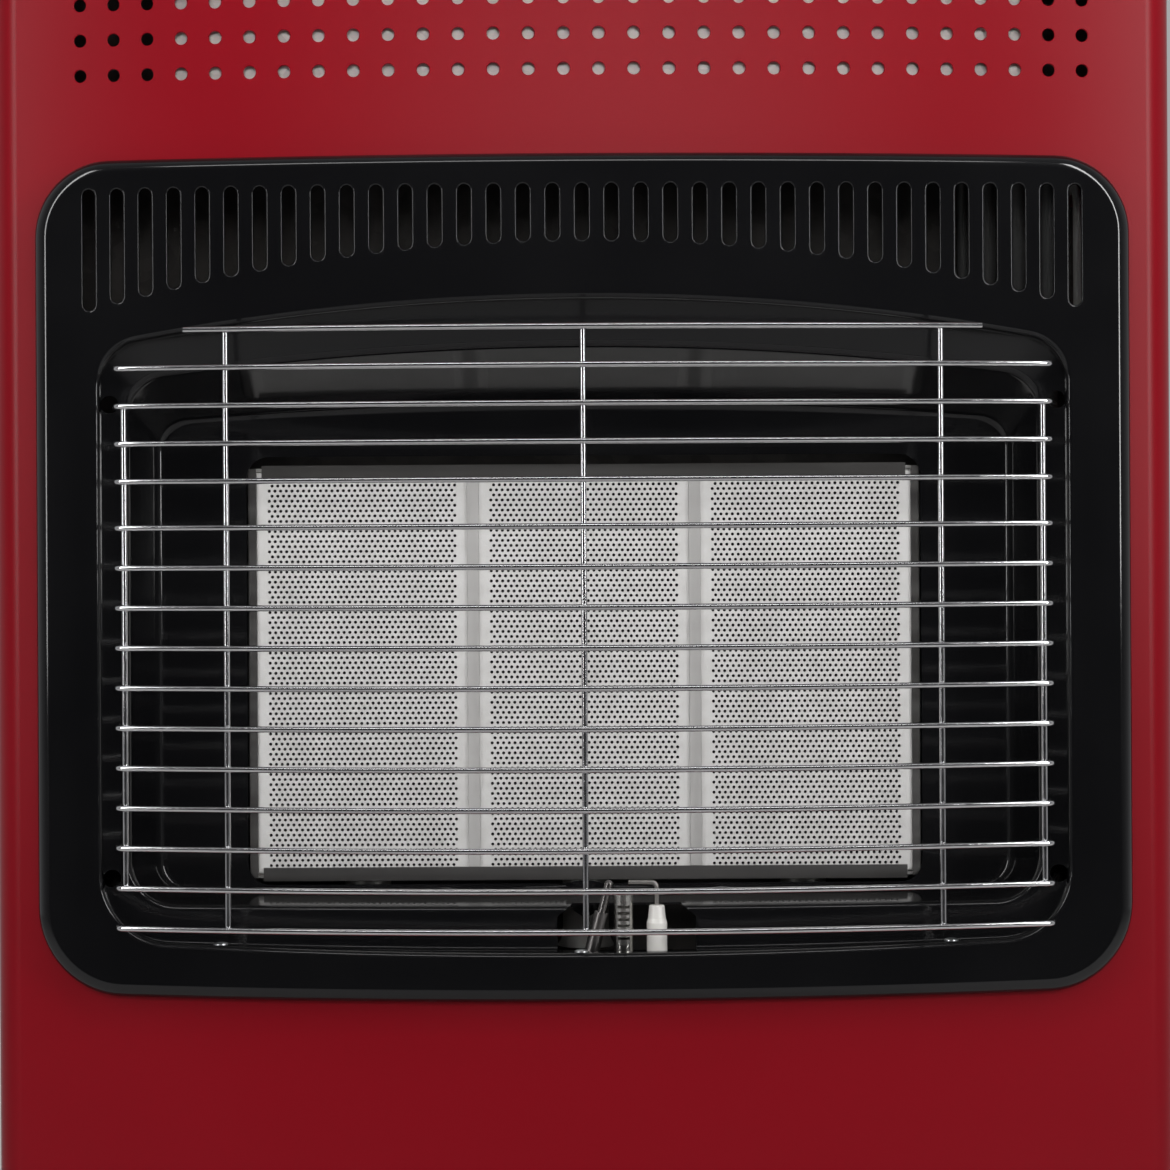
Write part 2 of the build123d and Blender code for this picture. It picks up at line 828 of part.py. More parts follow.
def recess_form(grow):
    """The room inside the liner, grown by grow: channel, strip and tapered recess."""
    with BuildPart() as form:
        with BuildSketch(front_plane(strip_y + grow)):
            add(opening_outline(liner_play + grow))
        extrude(amount=strip_depth + surround_stand + 2 * grow)
        with BuildSketch(front_plane(strip_y + grow)):
            add(opening_outline(liner_play + grow))
        with BuildSketch(front_plane(mouth_y + grow)):
            add(mouth_outline(grow))
        loft(ruled=True)
        with BuildSketch(front_plane(mouth_y + grow)):
            add(mouth_outline(grow))
        with BuildSketch(front_plane(back_y + grow)):
            add(back_outline(grow))
        loft(ruled=True)
    return form.part


cutout_half = burner_half + cutout_side_margin
cutout_low = box_low - cutout_low_margin
cutout_high = box_high + cutout_top_margin
wire_turn = asin(guard_half / guard_bow_radius)
leg_turn = radians(90 - leg_splay)
wire_end_y = bow_y(guard_half, guard_y, guard_bow_radius)
leg_start_x = guard_half + wire_bend_radius * (sin(leg_turn) - sin(wire_turn))
leg_start_y = wire_end_y + wire_bend_radius * (cos(wire_turn) - cos(leg_turn))
leg_x = leg_start_x + (strip_y + strip_slope / 2 + enamel_sheet / 2 - leg_start_y) * tan(radians(leg_splay))
leg_seat = (leg_hole_radius - wire_radius - body_gap) / sqrt(2)
with BuildPart() as recess_liner:
    add(recess_form(enamel_sheet))
    add(recess_form(0), mode=Mode.SUBTRACT)
    add(bow_cylinder(face_radius - lip_radius - pressed_gap), mode=Mode.INTERSECT)
    with BuildSketch(front_plane(back_y + 2 * enamel_sheet)):
        with Locations((0, (cutout_low + cutout_high) / 2)):
            RectangleRounded(2 * cutout_half, cutout_high - cutout_low, cutout_corner)
    extrude(amount=4 * enamel_sheet, mode=Mode.SUBTRACT)
    leg_holes = [(side * (leg_x + leg_seat), z + leg_seat) for side in side_names for z in leg_heights]
    with BuildSketch(front_plane(strip_y + strip_slope / 2)):
        with Locations(*leg_holes):
            Circle(leg_hole_radius)
    extrude(amount=strip_slope / 2 + 2 * enamel_sheet, both=True, mode=Mode.SUBTRACT)
    with BuildSketch(front_plane(mouth_y + pilot_window_reach)):
        foot_half = pilot_window_half - pilot_window_slant
        with BuildLine():
            Polyline(
                (pilot_window_centre - pilot_window_half, mouth_low - pilot_window_drop),
                (pilot_window_centre + pilot_window_half, mouth_low - pilot_window_drop),
                (pilot_window_centre + pilot_window_half, mouth_low - pilot_window_drop / 2),
                (pilot_window_centre + foot_half, mouth_low + pilot_window_top),
                (pilot_window_centre - foot_half, mouth_low + pilot_window_top),
                (pilot_window_centre - pilot_window_half, mouth_low - pilot_window_drop / 2),
                close=True,
            )
        make_face()
    extrude(amount=2 * pilot_window_reach, mode=Mode.SUBTRACT)
    with BuildSketch(Plane.XY.offset(opening_low - liner_play)):
        with Locations((pilot_window_centre, pilot_y)):
            RectangleRounded(2 * pilot_floor_half, 3 * insulator_low_radius, insulator_low_radius)
        with Locations(*lip_screws):
            Circle(screw_radius)
    extrude(amount=opening_low_sag, both=True, mode=Mode.SUBTRACT)
recess_liner.part.label = "recess_liner"
export_step(recess_liner.part, "parts/recess_liner.step")

# ================================================================ wire guard
leg_length = (strip_y + leg_past_strip - leg_start_y) / cos(radians(leg_splay))
with BuildPart() as guard:
    for height in lower_wires + upper_wires:
        is_leg = height in leg_heights
        wire_half = top_wire_half if height == upper_wires[-1] else guard_half
        with BuildLine(Plane.XY.offset(height)):
            bowed = ThreePointArc(
                (0, guard_y),
                (wire_half / 2, bow_y(wire_half / 2, guard_y, guard_bow_radius)),
                (wire_half, bow_y(wire_half, guard_y, guard_bow_radius)),
            )
            if wire_half == guard_half:
                turn = JernArc(
                    bowed @ 1,
                    (cos(wire_turn), sin(wire_turn)),
                    wire_bend_radius,
                    90 - degrees(wire_turn) - (leg_splay if is_leg else 0),
                )
                Line(turn @ 1, (turn @ 1) + (turn % 1) * (leg_length if is_leg else wire_tail))
        with BuildSketch(Plane((0, guard_y, height), z_dir=(1, 0, 0))):
            Circle(wire_radius)
        sweep()
    mirror(about=Plane.YZ)
    upright_bow = guard_bow_radius - 2 * wire_radius - weld_gap
    for xs, low, high in (
        ((-upright_spacing, 0, upright_spacing), lower_wires[0], upper_wires[-1]),
        ((-end_upright_x, end_upright_x), *leg_heights),
    ):
        turns = [asin(x / guard_bow_radius) for x in xs]
        bow_middle = guard_y + guard_bow_radius
        feet = [(upright_bow * sin(turn), bow_middle - upright_bow * cos(turn)) for turn in turns]
        with BuildSketch(Plane.XY.offset(low - wire_radius)):
            with Locations(*feet):
                Circle(wire_radius)
        extrude(amount=high - low + 2 * wire_radius)
guard.part.label = "guard"
export_step(guard.part, "parts/guard.step")

# ================================================================ burner
for column, column_name in column_names.items():
    column_x = column * column_pitch
    with BuildPart() as burner_box:
        with BuildSketch(front_plane(plaque_y)):
            with Locations((column_x, plaque_centre_height)):
                Rectangle(box_outer_width, box_outer_height)
        extrude(amount=-box_depth)
        with BuildSketch(front_plane(plaque_y)):
            with Locations((column_x, plaque_centre_height)):
                Rectangle(box_outer_width - 2 * box_wall, box_outer_height - 2 * box_wall)
        extrude(amount=-(plaque_thickness + gasket_thickness + 2 * seat_gap), mode=Mode.SUBTRACT)
        with BuildSketch(front_plane(plaque_y)):
            with Locations((column_x, plaque_centre_height)):
                Rectangle(plaque_width - 2 * gasket_width, plaque_height - 2 * gasket_width)
        extrude(amount=-(box_depth - box_wall), mode=Mode.SUBTRACT)
        with BuildSketch(front_plane(plaque_y + plaque_thickness + gasket_thickness + box_ledge)):
            with Locations((column_x, plaque_centre_height)):
                Rectangle(box_outer_width - 2 * box_wall, box_outer_height - 2 * box_wall)
        chamber_depth = box_depth - plaque_thickness - gasket_thickness - box_ledge - box_wall
        extrude(amount=-chamber_depth, mode=Mode.SUBTRACT)
        with BuildSketch(Plane((column_x, throat_y, 0), x_dir=(1, 0, 0), z_dir=(0, -1, 0))):
            with BuildLine():
                Polyline(
                    (0, box_low + box_wall / 2),
                    (throat_radius + throat_wall, box_low + box_wall / 2),
                    (throat_radius + throat_wall, throat_low + 2 * throat_flare),
                    (throat_radius + throat_wall + throat_flare, throat_low),
                    (0, throat_low),
                    close=True,
                )
            make_face()
        revolve(axis=Axis((column_x, throat_y, 0), (0, 0, 1)))
        with BuildSketch(Plane((column_x, throat_y, 0), x_dir=(1, 0, 0), z_dir=(0, -1, 0))):
            with BuildLine():
                Polyline(
                    (0, box_low + 2 * box_wall),
                    (throat_radius, box_low + 2 * box_wall),
                    (throat_radius, throat_low + 2 * throat_flare),
                    (throat_radius + throat_flare, throat_low),
                    (0, throat_low),
                    close=True,
                )
            make_face()
        revolve(axis=Axis((column_x, throat_y, 0), (0, 0, 1)), mode=Mode.SUBTRACT)
    burner_box.part.label = f"burner_box_{column_name}"
    export_step(burner_box.part, f"parts/burner_box_{column_name}.step")

    with BuildPart() as ceramic_plaque:
        with BuildSketch(front_plane(plaque_y)):
            with Locations((column_x, plaque_centre_height)):
                Rectangle(plaque_width, plaque_height)
        extrude(amount=-plaque_thickness)
    ceramic_plaque.part.label = f"ceramic_plaque_{column_name}"
    export_step(ceramic_plaque.part, f"parts/ceramic_plaque_{column_name}.step")

with BuildPart() as plaque_gaskets:
    with BuildSketch(front_plane(plaque_y + plaque_thickness + seat_gap)):
        with Locations(*[(column * column_pitch, plaque_centre_height) for column in column_names]):
            Rectangle(plaque_width, plaque_height)
            Rectangle(plaque_width - 2 * gasket_width, plaque_height - 2 * gasket_width, mode=Mode.SUBTRACT)
    extrude(amount=-gasket_thickness)
plaque_gaskets.part.label = "plaque_gaskets"
export_step(plaque_gaskets.part, "parts/plaque_gaskets.step")

clamp_half = burner_half - clamp_overlap
for end, end_name in ((-1, "bottom"), (1, "top")):
    edge = plaque_centre_height + end * (plaque_height / 2 - clamp_overlap)
    outer = plaque_centre_height + end * (box_outer_height / 2 + seat_gap)
    with BuildPart() as clamp_strip:
        with BuildSketch(Plane.YZ.offset(-clamp_half)):
            with BuildLine():
                Polyline(
                    (clamp_y, edge),
                    (clamp_y, outer + end * clamp_sheet),
                    (clamp_y + clamp_leg, outer + end * clamp_sheet),
                    (clamp_y + clamp_leg, outer),
                    (clamp_y + clamp_sheet, outer),
                    (clamp_y + clamp_sheet, edge),
                    close=True,
                )
            make_face()
        extrude(amount=2 * clamp_half)
    clamp_strip.part.label = f"clamp_strip_{end_name}"
    export_step(clamp_strip.part, f"parts/clamp_strip_{end_name}.step")

clamp_side_inner = burner_half - clamp_side_overlap
clamp_side_outer = box_side + seat_gap
with BuildPart() as clamp_sides:
    with BuildSketch(Plane.XY.offset(box_low)):
        for side in side_names:
            with BuildLine():
                Polyline(
                    (side * clamp_side_inner, clamp_y),
                    (side * (clamp_side_outer + clamp_sheet), clamp_y),
                    (side * (clamp_side_outer + clamp_sheet), clamp_y + clamp_leg),
                    (side * clamp_side_outer, clamp_y + clamp_leg),
                    (side * clamp_side_outer, clamp_y + clamp_sheet),
                    (side * clamp_side_inner, clamp_y + clamp_sheet),
                    close=True,
                )
            make_face()
    extrude(amount=box_high - box_low)
clamp_sides.part.label = "clamp_sides"
export_step(clamp_sides.part, "parts/clamp_sides.step")

divider_low = plaque_centre_height - plaque_height / 2 + clamp_overlap + seat_gap
divider_high = plaque_centre_height + plaque_height / 2 - clamp_overlap - seat_gap
with BuildPart() as divider_strips:
    with BuildSketch(front_plane(clamp_y)):
        with Locations(*[(side * column_pitch / 2, (divider_low + divider_high) / 2) for side in side_names]):
            Rectangle(divider_width, divider_high - divider_low)
    extrude(amount=-clamp_sheet)
divider_strips.part.label = "divider_strips"
export_step(divider_strips.part, "parts/divider_strips.step")

carrier_y = box_back + seat_gap
with BuildPart() as burner_carrier:
    with BuildSketch(Plane.XY.offset(box_low + carrier_end_margin)):
        with BuildLine():
            Polyline(
                (-carrier_half, back_y + enamel_sheet + seat_gap),
                (-carrier_half, carrier_y + bracket_sheet),
                (carrier_half, carrier_y + bracket_sheet),
                (carrier_half, back_y + enamel_sheet + seat_gap),
                (carrier_half - bracket_sheet, back_y + enamel_sheet + seat_gap),
                (carrier_half - bracket_sheet, carrier_y),
                (-carrier_half + bracket_sheet, carrier_y),
                (-carrier_half + bracket_sheet, back_y + enamel_sheet + seat_gap),
                close=True,
            )
        make_face()
    extrude(amount=box_outer_height - 2 * carrier_end_margin)
burner_carrier.part.label = "burner_carrier"
export_step(burner_carrier.part, "parts/burner_carrier.step")

# ================================================================ injectors and their bracket
bracket_rear = partition_y - seat_gap
with BuildPart() as injector_bracket:
    with BuildSketch(Plane.YZ.offset(-rail_plate_half)):
        with BuildLine():
            Polyline(
                (bracket_rear, rail_plate_top - rail_plate_drop),
                (bracket_rear, rail_plate_top),
                (bracket_rear - rail_plate_depth, rail_plate_top),
                (bracket_rear - rail_plate_depth, rail_plate_top - bracket_sheet),
                (bracket_rear - bracket_sheet, rail_plate_top - bracket_sheet),
                (bracket_rear - bracket_sheet, rail_plate_top - rail_plate_drop),
                close=True,
            )
        make_face()
    extrude(amount=2 * rail_plate_half)
    with BuildSketch(Plane.XY.offset(rail_plate_top)):
        with Locations(*[(column * column_pitch, throat_y) for column in column_names]):
            Circle(injector_radius + bolt_clearance)
    extrude(amount=-2 * bracket_sheet, mode=Mode.SUBTRACT)
injector_bracket.part.label = "injector_bracket"
export_step(injector_bracket.part, "parts/injector_bracket.step")

with BuildPart() as injectors:
    with BuildSketch(Plane.XY.offset(rail_plate_top)):
        with Locations(*[(column * column_pitch, throat_y) for column in column_names]):
            RegularPolygon(injector_hex / 2, 6, major_radius=False)
    extrude(amount=injector_hex_height)
    with BuildSketch(Plane.XY.offset(stub_low)):
        with Locations(*[(column * column_pitch, throat_y) for column in column_names]):
            Circle(injector_radius)
    extrude(amount=injector_stub)
    with BuildSketch(Plane.XY.offset(rail_plate_top + injector_hex_height)):
        with Locations(*[(column * column_pitch, throat_y) for column in column_names]):
            Circle(injector_radius)
    extrude(amount=injector_nose, taper=injector_taper)
    with BuildSketch(Plane.XY.offset(stub_low)):
        with Locations(*[(column * column_pitch, throat_y) for column in column_names]):
            Circle(pipe_bore)
    extrude(amount=injector_stub + injector_hex_height, mode=Mode.SUBTRACT)
injectors.part.label = "injectors"
export_step(injectors.part, "parts/injectors.step")

# ================================================================ gas pipes
outlets = {}
for column, column_name in column_names.items():
    order = 1 - column
    outlets[column] = pilot_outlet_offset - (order + 1) * outlet_step
    riser_x = riser_first + order * riser_step
    riser_y = throat_y - order * riser_step
    low_z = stub_low - pipe_low_margin - pipe_bend - order * pipe_low_step
    outlet_x = knob_x + outlets[column]
    column_x = column * column_pitch
    gas_pipe = pipe(
        [
            (column_x, throat_y, stub_low),
            (column_x, throat_y, low_z),
            (riser_x, riser_y, low_z),
            (riser_x, riser_y, outlet_height),
            (outlet_x, riser_y, outlet_height),
            (outlet_x, tap_front, outlet_height),
        ],
        pipe_bend,
        pipe_radius,
        pipe_bore,
    )
    gas_pipe.label = f"gas_pipe_{column_name}"
    export_step(gas_pipe, f"parts/gas_pipe_{column_name}.step")

pilot_riser = (pilot_riser_x, partition_y - pilot_pipe_radius - 2 * body_gap)
pilot_outlet_x = knob_x + pilot_outlet_offset
pilot_pipe_low = pilot_base - pilot_pipe_drop
pilot_pipe = pipe(
    [
        (pilot_x, pilot_y, pilot_base),
        (pilot_x, pilot_y, pilot_pipe_low),
        (*pilot_riser, pilot_pipe_low),
        (*pilot_riser, outlet_height),
        (pilot_outlet_x, pilot_riser[1], outlet_height),
        (pilot_outlet_x, tap_front, outlet_height),
    ],
    pilot_pipe_bend,
    pilot_pipe_radius,
    pilot_pipe_bore,
)
pilot_pipe.label = "pilot_pipe"
export_step(pilot_pipe, "parts/pilot_pipe.step")

# ================================================================ pilot group
bracket_z = pilot_base - bracket_sheet
thermo_foot = (thermo_x, pilot_y, bracket_z - body_gap)
with BuildPart() as pilot_bracket:
    with BuildSketch(Plane.XY.offset(bracket_z)):
        with Locations((pilot_window_centre, pilot_y + pilot_bracket_offset)):
            Rectangle(2 * pilot_window_half, pilot_bracket_depth)
    extrude(amount=bracket_sheet)
    with BuildSketch(Plane.XY.offset(bracket_z)):
        for side in side_names:
            flange_x = pilot_window_centre + side * (pilot_window_half - bracket_sheet / 2)
            with Locations((flange_x, pilot_y + pilot_bracket_offset)):
                Rectangle(bracket_sheet, pilot_bracket_depth)
    extrude(amount=opening_low - liner_play - enamel_sheet - seat_gap - bracket_z)
    with BuildSketch(Plane.XY.offset(bracket_z)):
        with Locations((pilot_x, pilot_y)):
            Circle(pilot_pipe_radius + bolt_clearance)
        with Locations((electrode_x, pilot_y)):
            Circle(ignition_lead_radius + bolt_clearance)
        with Locations((thermo_x, pilot_y)):
            Circle(thermo_radius + thermo_hole_clearance)
    extrude(amount=bracket_sheet, mode=Mode.SUBTRACT)
pilot_bracket.part.label = "pilot_bracket"
export_step(pilot_bracket.part, "parts/pilot_bracket.step")

with BuildPart() as pilot_burner:
    with BuildSketch(Plane.XY.offset(pilot_base)):
        with Locations((pilot_x, pilot_y)):
            Circle(pilot_tube_radius)
    extrude(amount=pilot_top - pilot_base)
    with BuildSketch(Plane.XY.offset(pilot_base + pilot_tube_floor)):
        with Locations((pilot_x, pilot_y)):
            Circle(pilot_tube_bore)
    extrude(amount=pilot_top - pilot_base, mode=Mode.SUBTRACT)
    with BuildSketch(Plane.XY.offset(pilot_base)):
        with Locations((pilot_x, pilot_y)):
            Circle(pilot_pipe_bore)
    extrude(amount=2 * pilot_tube_floor, mode=Mode.SUBTRACT)
    with BuildSketch(front_plane(pilot_y)):
        for row in range(pilot_slots):
            with Locations((pilot_x, pilot_top - pilot_slot_drop - row * pilot_slot_pitch)):
                Rectangle(pilot_slot_width, pilot_slot_height)
    extrude(amount=2 * pilot_tube_radius, mode=Mode.SUBTRACT)
pilot_burner.part.label = "pilot_burner"
export_step(pilot_burner.part, "parts/pilot_burner.step")

thermo_plane = Plane(
    origin=thermo_foot,
    x_dir=(cos(radians(thermo_tilt)), 0, -sin(radians(thermo_tilt))),
    z_dir=(sin(radians(thermo_tilt)), 0, cos(radians(thermo_tilt))),
)
lead_riser = (thermo_lead_x, throat_y - lead_bend)
with BuildPart() as thermocouple:
    with BuildSketch(thermo_plane):
        Circle(thermo_radius)
    extrude(amount=thermo_length)
    fillet(thermocouple.edges().sort_by(Axis.Z)[-1], thermo_tip_radius)
    with BuildSketch(thermo_plane.offset(thermo_sleeve_start)):
        Circle(thermo_sleeve_radius)
    extrude(amount=thermo_sleeve_length - thermo_sleeve_start)
    with BuildLine() as lead_route:
        FilletPolyline(
            thermo_foot,
            (thermo_x, pilot_y, pilot_base - lead_drop),
            (*lead_riser, pilot_base - lead_drop - 2 * lead_radius),
            (*lead_riser, magnet_low - riser_step),
            (lead_riser[0], dish_y, magnet_low - riser_step),
            (knob_x, dish_y, magnet_low - riser_step),
            (knob_x, dish_y, magnet_low - lead_nut_height),
            radius=[lead_bend, lead_bend, lead_bend, lead_bend, lead_last_bend],
        )
    with BuildSketch(Plane(lead_route.line @ 0, z_dir=lead_route.line % 0)):
        Circle(lead_radius)
    sweep()
    with BuildSketch(Plane.XY.offset(magnet_low - lead_nut_height)):
        with Locations((knob_x, dish_y)):
            RegularPolygon(lead_nut_size / 2, 6, major_radius=False)
    extrude(amount=lead_nut_height - seat_gap)
thermocouple.part.label = "thermocouple"
export_step(thermocouple.part, "parts/thermocouple.step")

with BuildPart() as electrode_insulator:
    with BuildSketch(Plane((electrode_x, pilot_y, 0), x_dir=(1, 0, 0), z_dir=(0, -1, 0))):
        with BuildLine():
            Polyline(
                (electrode_pin_radius + seat_gap, pilot_base),
                (insulator_low_radius, pilot_base),
                (insulator_low_radius, insulator_shoulder - insulator_step_height),
                (insulator_high_radius + insulator_step, insulator_shoulder),
                (insulator_high_radius, insulator_top),
                (electrode_pin_radius + seat_gap, insulator_top),
                close=True,
            )
        make_face()
    revolve(axis=Axis((electrode_x, pilot_y, 0), (0, 0, 1)))
    fillet(electrode_insulator.edges().group_by(Axis.Z)[-1].sort_by(SortBy.LENGTH)[-1], insulator_edge)
electrode_insulator.part.label = "electrode_insulator"
export_step(electrode_insulator.part, "parts/electrode_insulator.step")

electrode_pin = pipe(
    [
        (electrode_x, pilot_y, pilot_base + electrode_foot),
        (electrode_x, pilot_y, electrode_top),
        (electrode_x - electrode_reach, pilot_y, electrode_top),
    ],
    electrode_bend,
    electrode_pin_radius,
)
electrode_pin.label = "electrode_pin"
export_step(electrode_pin, "parts/electrode_pin.step")

ignition_riser_y = throat_y - lead_bend
ignition_low = pilot_base - ignition_lead_drop
ignition_lead = pipe(
    [
        (electrode_x, pilot_y, pilot_base - seat_gap),
        (electrode_x, pilot_y, ignition_low),
        (ignition_lead_x, ignition_riser_y - 3 * lead_bend, ignition_low),
        (ignition_lead_x, ignition_riser_y, ignition_low + 3 * lead_bend),
        (ignition_lead_x, ignition_riser_y, ignition_lead_z),
        (ignition_lead_x, dish_y - 3 * lead_bend, ignition_lead_z),
        (piezo_x, dish_y, ignition_lead_z + lead_bend),
        (piezo_x, dish_y, piezo_low - seat_gap),
    ],
    lead_bend,
    ignition_lead_radius,
)
ignition_lead.label = "ignition_lead"
export_step(ignition_lead, "parts/ignition_lead.step")

# ================================================================ top deck
with BuildPart() as top_deck:
    deck_rear = cabinet_rear + deck_rear_overhang
    with BuildSketch(Plane.XY.offset(deck_low + seat_gap)):
        add(cabinet_outline(0, deck_rear))
    extrude(amount=deck_height - seat_gap)
    rear_corners = top_deck.edges().filter_by(Axis.Z).group_by(Axis.Y)[-1]
    fillet(rear_corners, corner_radius)
    fillet(top_deck.faces().sort_by(Axis.Z)[-1].edges(), deck_edge_radius)
    with BuildSketch(Plane.XY.offset(deck_low)):
        add(cabinet_outline(deck_wall, deck_rear - deck_wall))
    extrude(amount=deck_height - deck_wall, mode=Mode.SUBTRACT)
    with BuildSketch(Plane.XY.offset(dish_under)):
        with Locations((dish_x, dish_y)):
            RectangleRounded(dish_length + 2 * dish_wall, dish_width + 2 * dish_wall, dish_corner + dish_wall)
    extrude(amount=dish_depth)
    with BuildSketch(Plane.XY.offset(dish_floor)):
        with Locations((dish_x, dish_y)):
            RectangleRounded(dish_length, dish_width, dish_corner)
    extrude(amount=dish_depth, mode=Mode.SUBTRACT)
    with BuildSketch(Plane.XY.offset(dish_under)):
        with Locations((knob_x, dish_y)):
            Circle(neck_radius + bolt_clearance)
        with Locations((piezo_x, dish_y)):
            Circle(piezo_neck_radius + bolt_clearance)
    extrude(amount=dish_wall, mode=Mode.SUBTRACT)
top_deck.part.label = "top_deck"
export_step(top_deck.part, "parts/top_deck.step")

# ================================================================ controls
with BuildPart() as control_bracket:
    with BuildSketch(Plane.XY.offset(bracket_top)):
        with Locations((dish_x, dish_y)):
            Rectangle(dish_length - 2 * bracket_margin, dish_width - 2 * bracket_margin)
        with Locations((knob_x, dish_y)):
            Circle(neck_radius + bolt_clearance, mode=Mode.SUBTRACT)
        with Locations((piezo_x, dish_y)):
            Circle(piezo_neck_radius + bolt_clearance, mode=Mode.SUBTRACT)
    extrude(amount=-bracket_sheet)
    with BuildSketch(Plane.XY.offset(bracket_top)):
        for side in side_names:
            with Locations((dish_x, dish_y + side * (dish_width / 2 - bracket_margin - bracket_sheet / 2))):
                Rectangle(dish_length - 2 * bracket_margin, bracket_sheet)
    extrude(amount=-bracket_lip)
control_bracket.part.label = "control_bracket"
export_step(control_bracket.part, "parts/control_bracket.step")

rotor_low = tap_low + rotor_rise
rotor_height = neck_top - rotor_low
with BuildPart() as gas_tap_body:
    with BuildSketch(Plane.XY.offset(tap_low)):
        with Locations((knob_x, dish_y)):
            RectangleRounded(tap_width, tap_length, tap_corner)
    extrude(amount=tap_height)
    fillet(gas_tap_body.faces().sort_by(Axis.Z)[-1].edges(), tap_edge)
    with BuildSketch(Plane.XY.offset(tap_top)):
        with Locations((knob_x, dish_y)):
            Circle(neck_radius)
    extrude(amount=neck_top - tap_top)
    with BuildSketch(Plane.XY.offset(tap_low)):
        with Locations((knob_x, dish_y)):
            Circle(magnet_radius)
    extrude(amount=-magnet_length)
    with BuildSketch(Plane.XY.offset(rotor_low)):
        with Locations((knob_x, dish_y)):
            Circle(rotor_radius + running_clearance)
    extrude(amount=rotor_height, mode=Mode.SUBTRACT)
    with BuildSketch(front_plane(tap_front)):
        with Locations(*[(knob_x + x, outlet_height) for x in outlets.values()]):
            Circle(pipe_bore)
        with Locations((pilot_outlet_x, outlet_height)):
            Circle(pilot_pipe_bore)
    extrude(amount=-2 * tap_corner, mode=Mode.SUBTRACT)
gas_tap_body.part.label = "gas_tap_body"
export_step(gas_tap_body.part, "parts/gas_tap_body.step")

with BuildPart() as tap_rotor:
    with BuildSketch(Plane.XY.offset(rotor_low + body_gap)):
        with Locations((knob_x, dish_y)):
            Circle(rotor_radius)
            Circle(spindle_radius + running_clearance, mode=Mode.SUBTRACT)
    extrude(amount=rotor_height - body_gap)
    key_depth = spindle_radius - spindle_flat
    with BuildSketch(Plane.XY.offset(rotor_low + body_gap)):
        with Locations((knob_x, dish_y + spindle_flat + running_clearance + key_depth / 2)):
            Rectangle(2 * spindle_radius, key_depth)
    extrude(amount=rotor_height - body_gap)
tap_rotor.part.label = "tap_rotor"
export_step(tap_rotor.part, "parts/tap_rotor.step")

spindle_low = rotor_low + body_gap + knob_travel + spindle_clearance
spindle_top = knob_low + knob_height - knob_grip_height / 2
with BuildPart() as tap_spindle:
    with BuildSketch(Plane.XY.offset(spindle_low)):
        with Locations((knob_x, dish_y)):
            Circle(spindle_radius)
        with Locations((knob_x, dish_y + spindle_flat + key_depth)):
            Rectangle(2 * spindle_radius, 2 * key_depth, mode=Mode.SUBTRACT)
    extrude(amount=spindle_top - spindle_low)
tap_spindle.part.label = "tap_spindle"
export_step(tap_spindle.part, "parts/tap_spindle.step")

with BuildPart() as panel_nuts:
    with BuildSketch(Plane.XY.offset(dish_floor + seat_gap)):
        with Locations((knob_x, dish_y)):
            RegularPolygon(knob_nut_size / 2, 6, major_radius=False)
            Circle(neck_radius + seat_gap, mode=Mode.SUBTRACT)
    extrude(amount=nut_thickness)
    with BuildSketch(Plane.XY.offset(bracket_top - bracket_sheet - seat_gap)):
        with Locations((piezo_x, dish_y)):
            RegularPolygon(piezo_nut_size / 2, 6, major_radius=False)
            Circle(piezo_neck_radius + seat_gap, mode=Mode.SUBTRACT)
    extrude(amount=-nut_thickness)
panel_nuts.part.label = "panel_nuts"
export_step(panel_nuts.part, "parts/panel_nuts.step")

skirt_height = knob_height - knob_grip_height
with BuildPart() as control_knob:
    with BuildSketch(Plane.XY.offset(knob_low)):
        with Locations((knob_x, dish_y)):
            Circle(knob_radius)
    extrude(amount=skirt_height, taper=knob_skirt_taper)
    fillet(control_knob.faces().sort_by(Axis.Z)[-1].edges(), knob_skirt_edge)
    with BuildSketch(Plane.XY.offset(knob_low + skirt_height - knob_grip_sink)):
        with Locations((knob_x, dish_y)):
            SlotOverall(2 * (knob_radius - knob_grip_inset), knob_grip_width, rotation=90)
    extrude(amount=knob_grip_height + knob_grip_sink, taper=knob_grip_taper)
    fillet(control_knob.faces().sort_by(Axis.Z)[-1].edges(), knob_grip_edge)
    with BuildSketch(Plane.XY.offset(knob_low)):
        with Locations((knob_x, dish_y)):
            Circle(knob_radius - knob_lean - knob_wall)
            Circle(knob_socket_radius, mode=Mode.SUBTRACT)
    extrude(amount=skirt_height - knob_wall, mode=Mode.SUBTRACT)
    with BuildSketch(Plane.XY.offset(knob_low)):
        with Locations((knob_x, dish_y)):
            Circle(knob_nut_size / 2 + knob_wall)
    extrude(amount=neck_top - knob_low + knob_travel + 2 * body_gap, mode=Mode.SUBTRACT)
    with BuildSketch(Plane.XY.offset(knob_low)):
        with Locations((knob_x, dish_y)):
            Circle(spindle_radius + running_clearance)
        with Locations((knob_x, dish_y + spindle_flat + running_clearance + key_depth)):
            Rectangle(2 * spindle_radius + spindle_clearance, 2 * key_depth, mode=Mode.SUBTRACT)
    extrude(amount=spindle_top - knob_low + running_clearance, mode=Mode.SUBTRACT)
control_knob.part.label = "control_knob"
export_step(control_knob.part, "parts/control_knob.step")

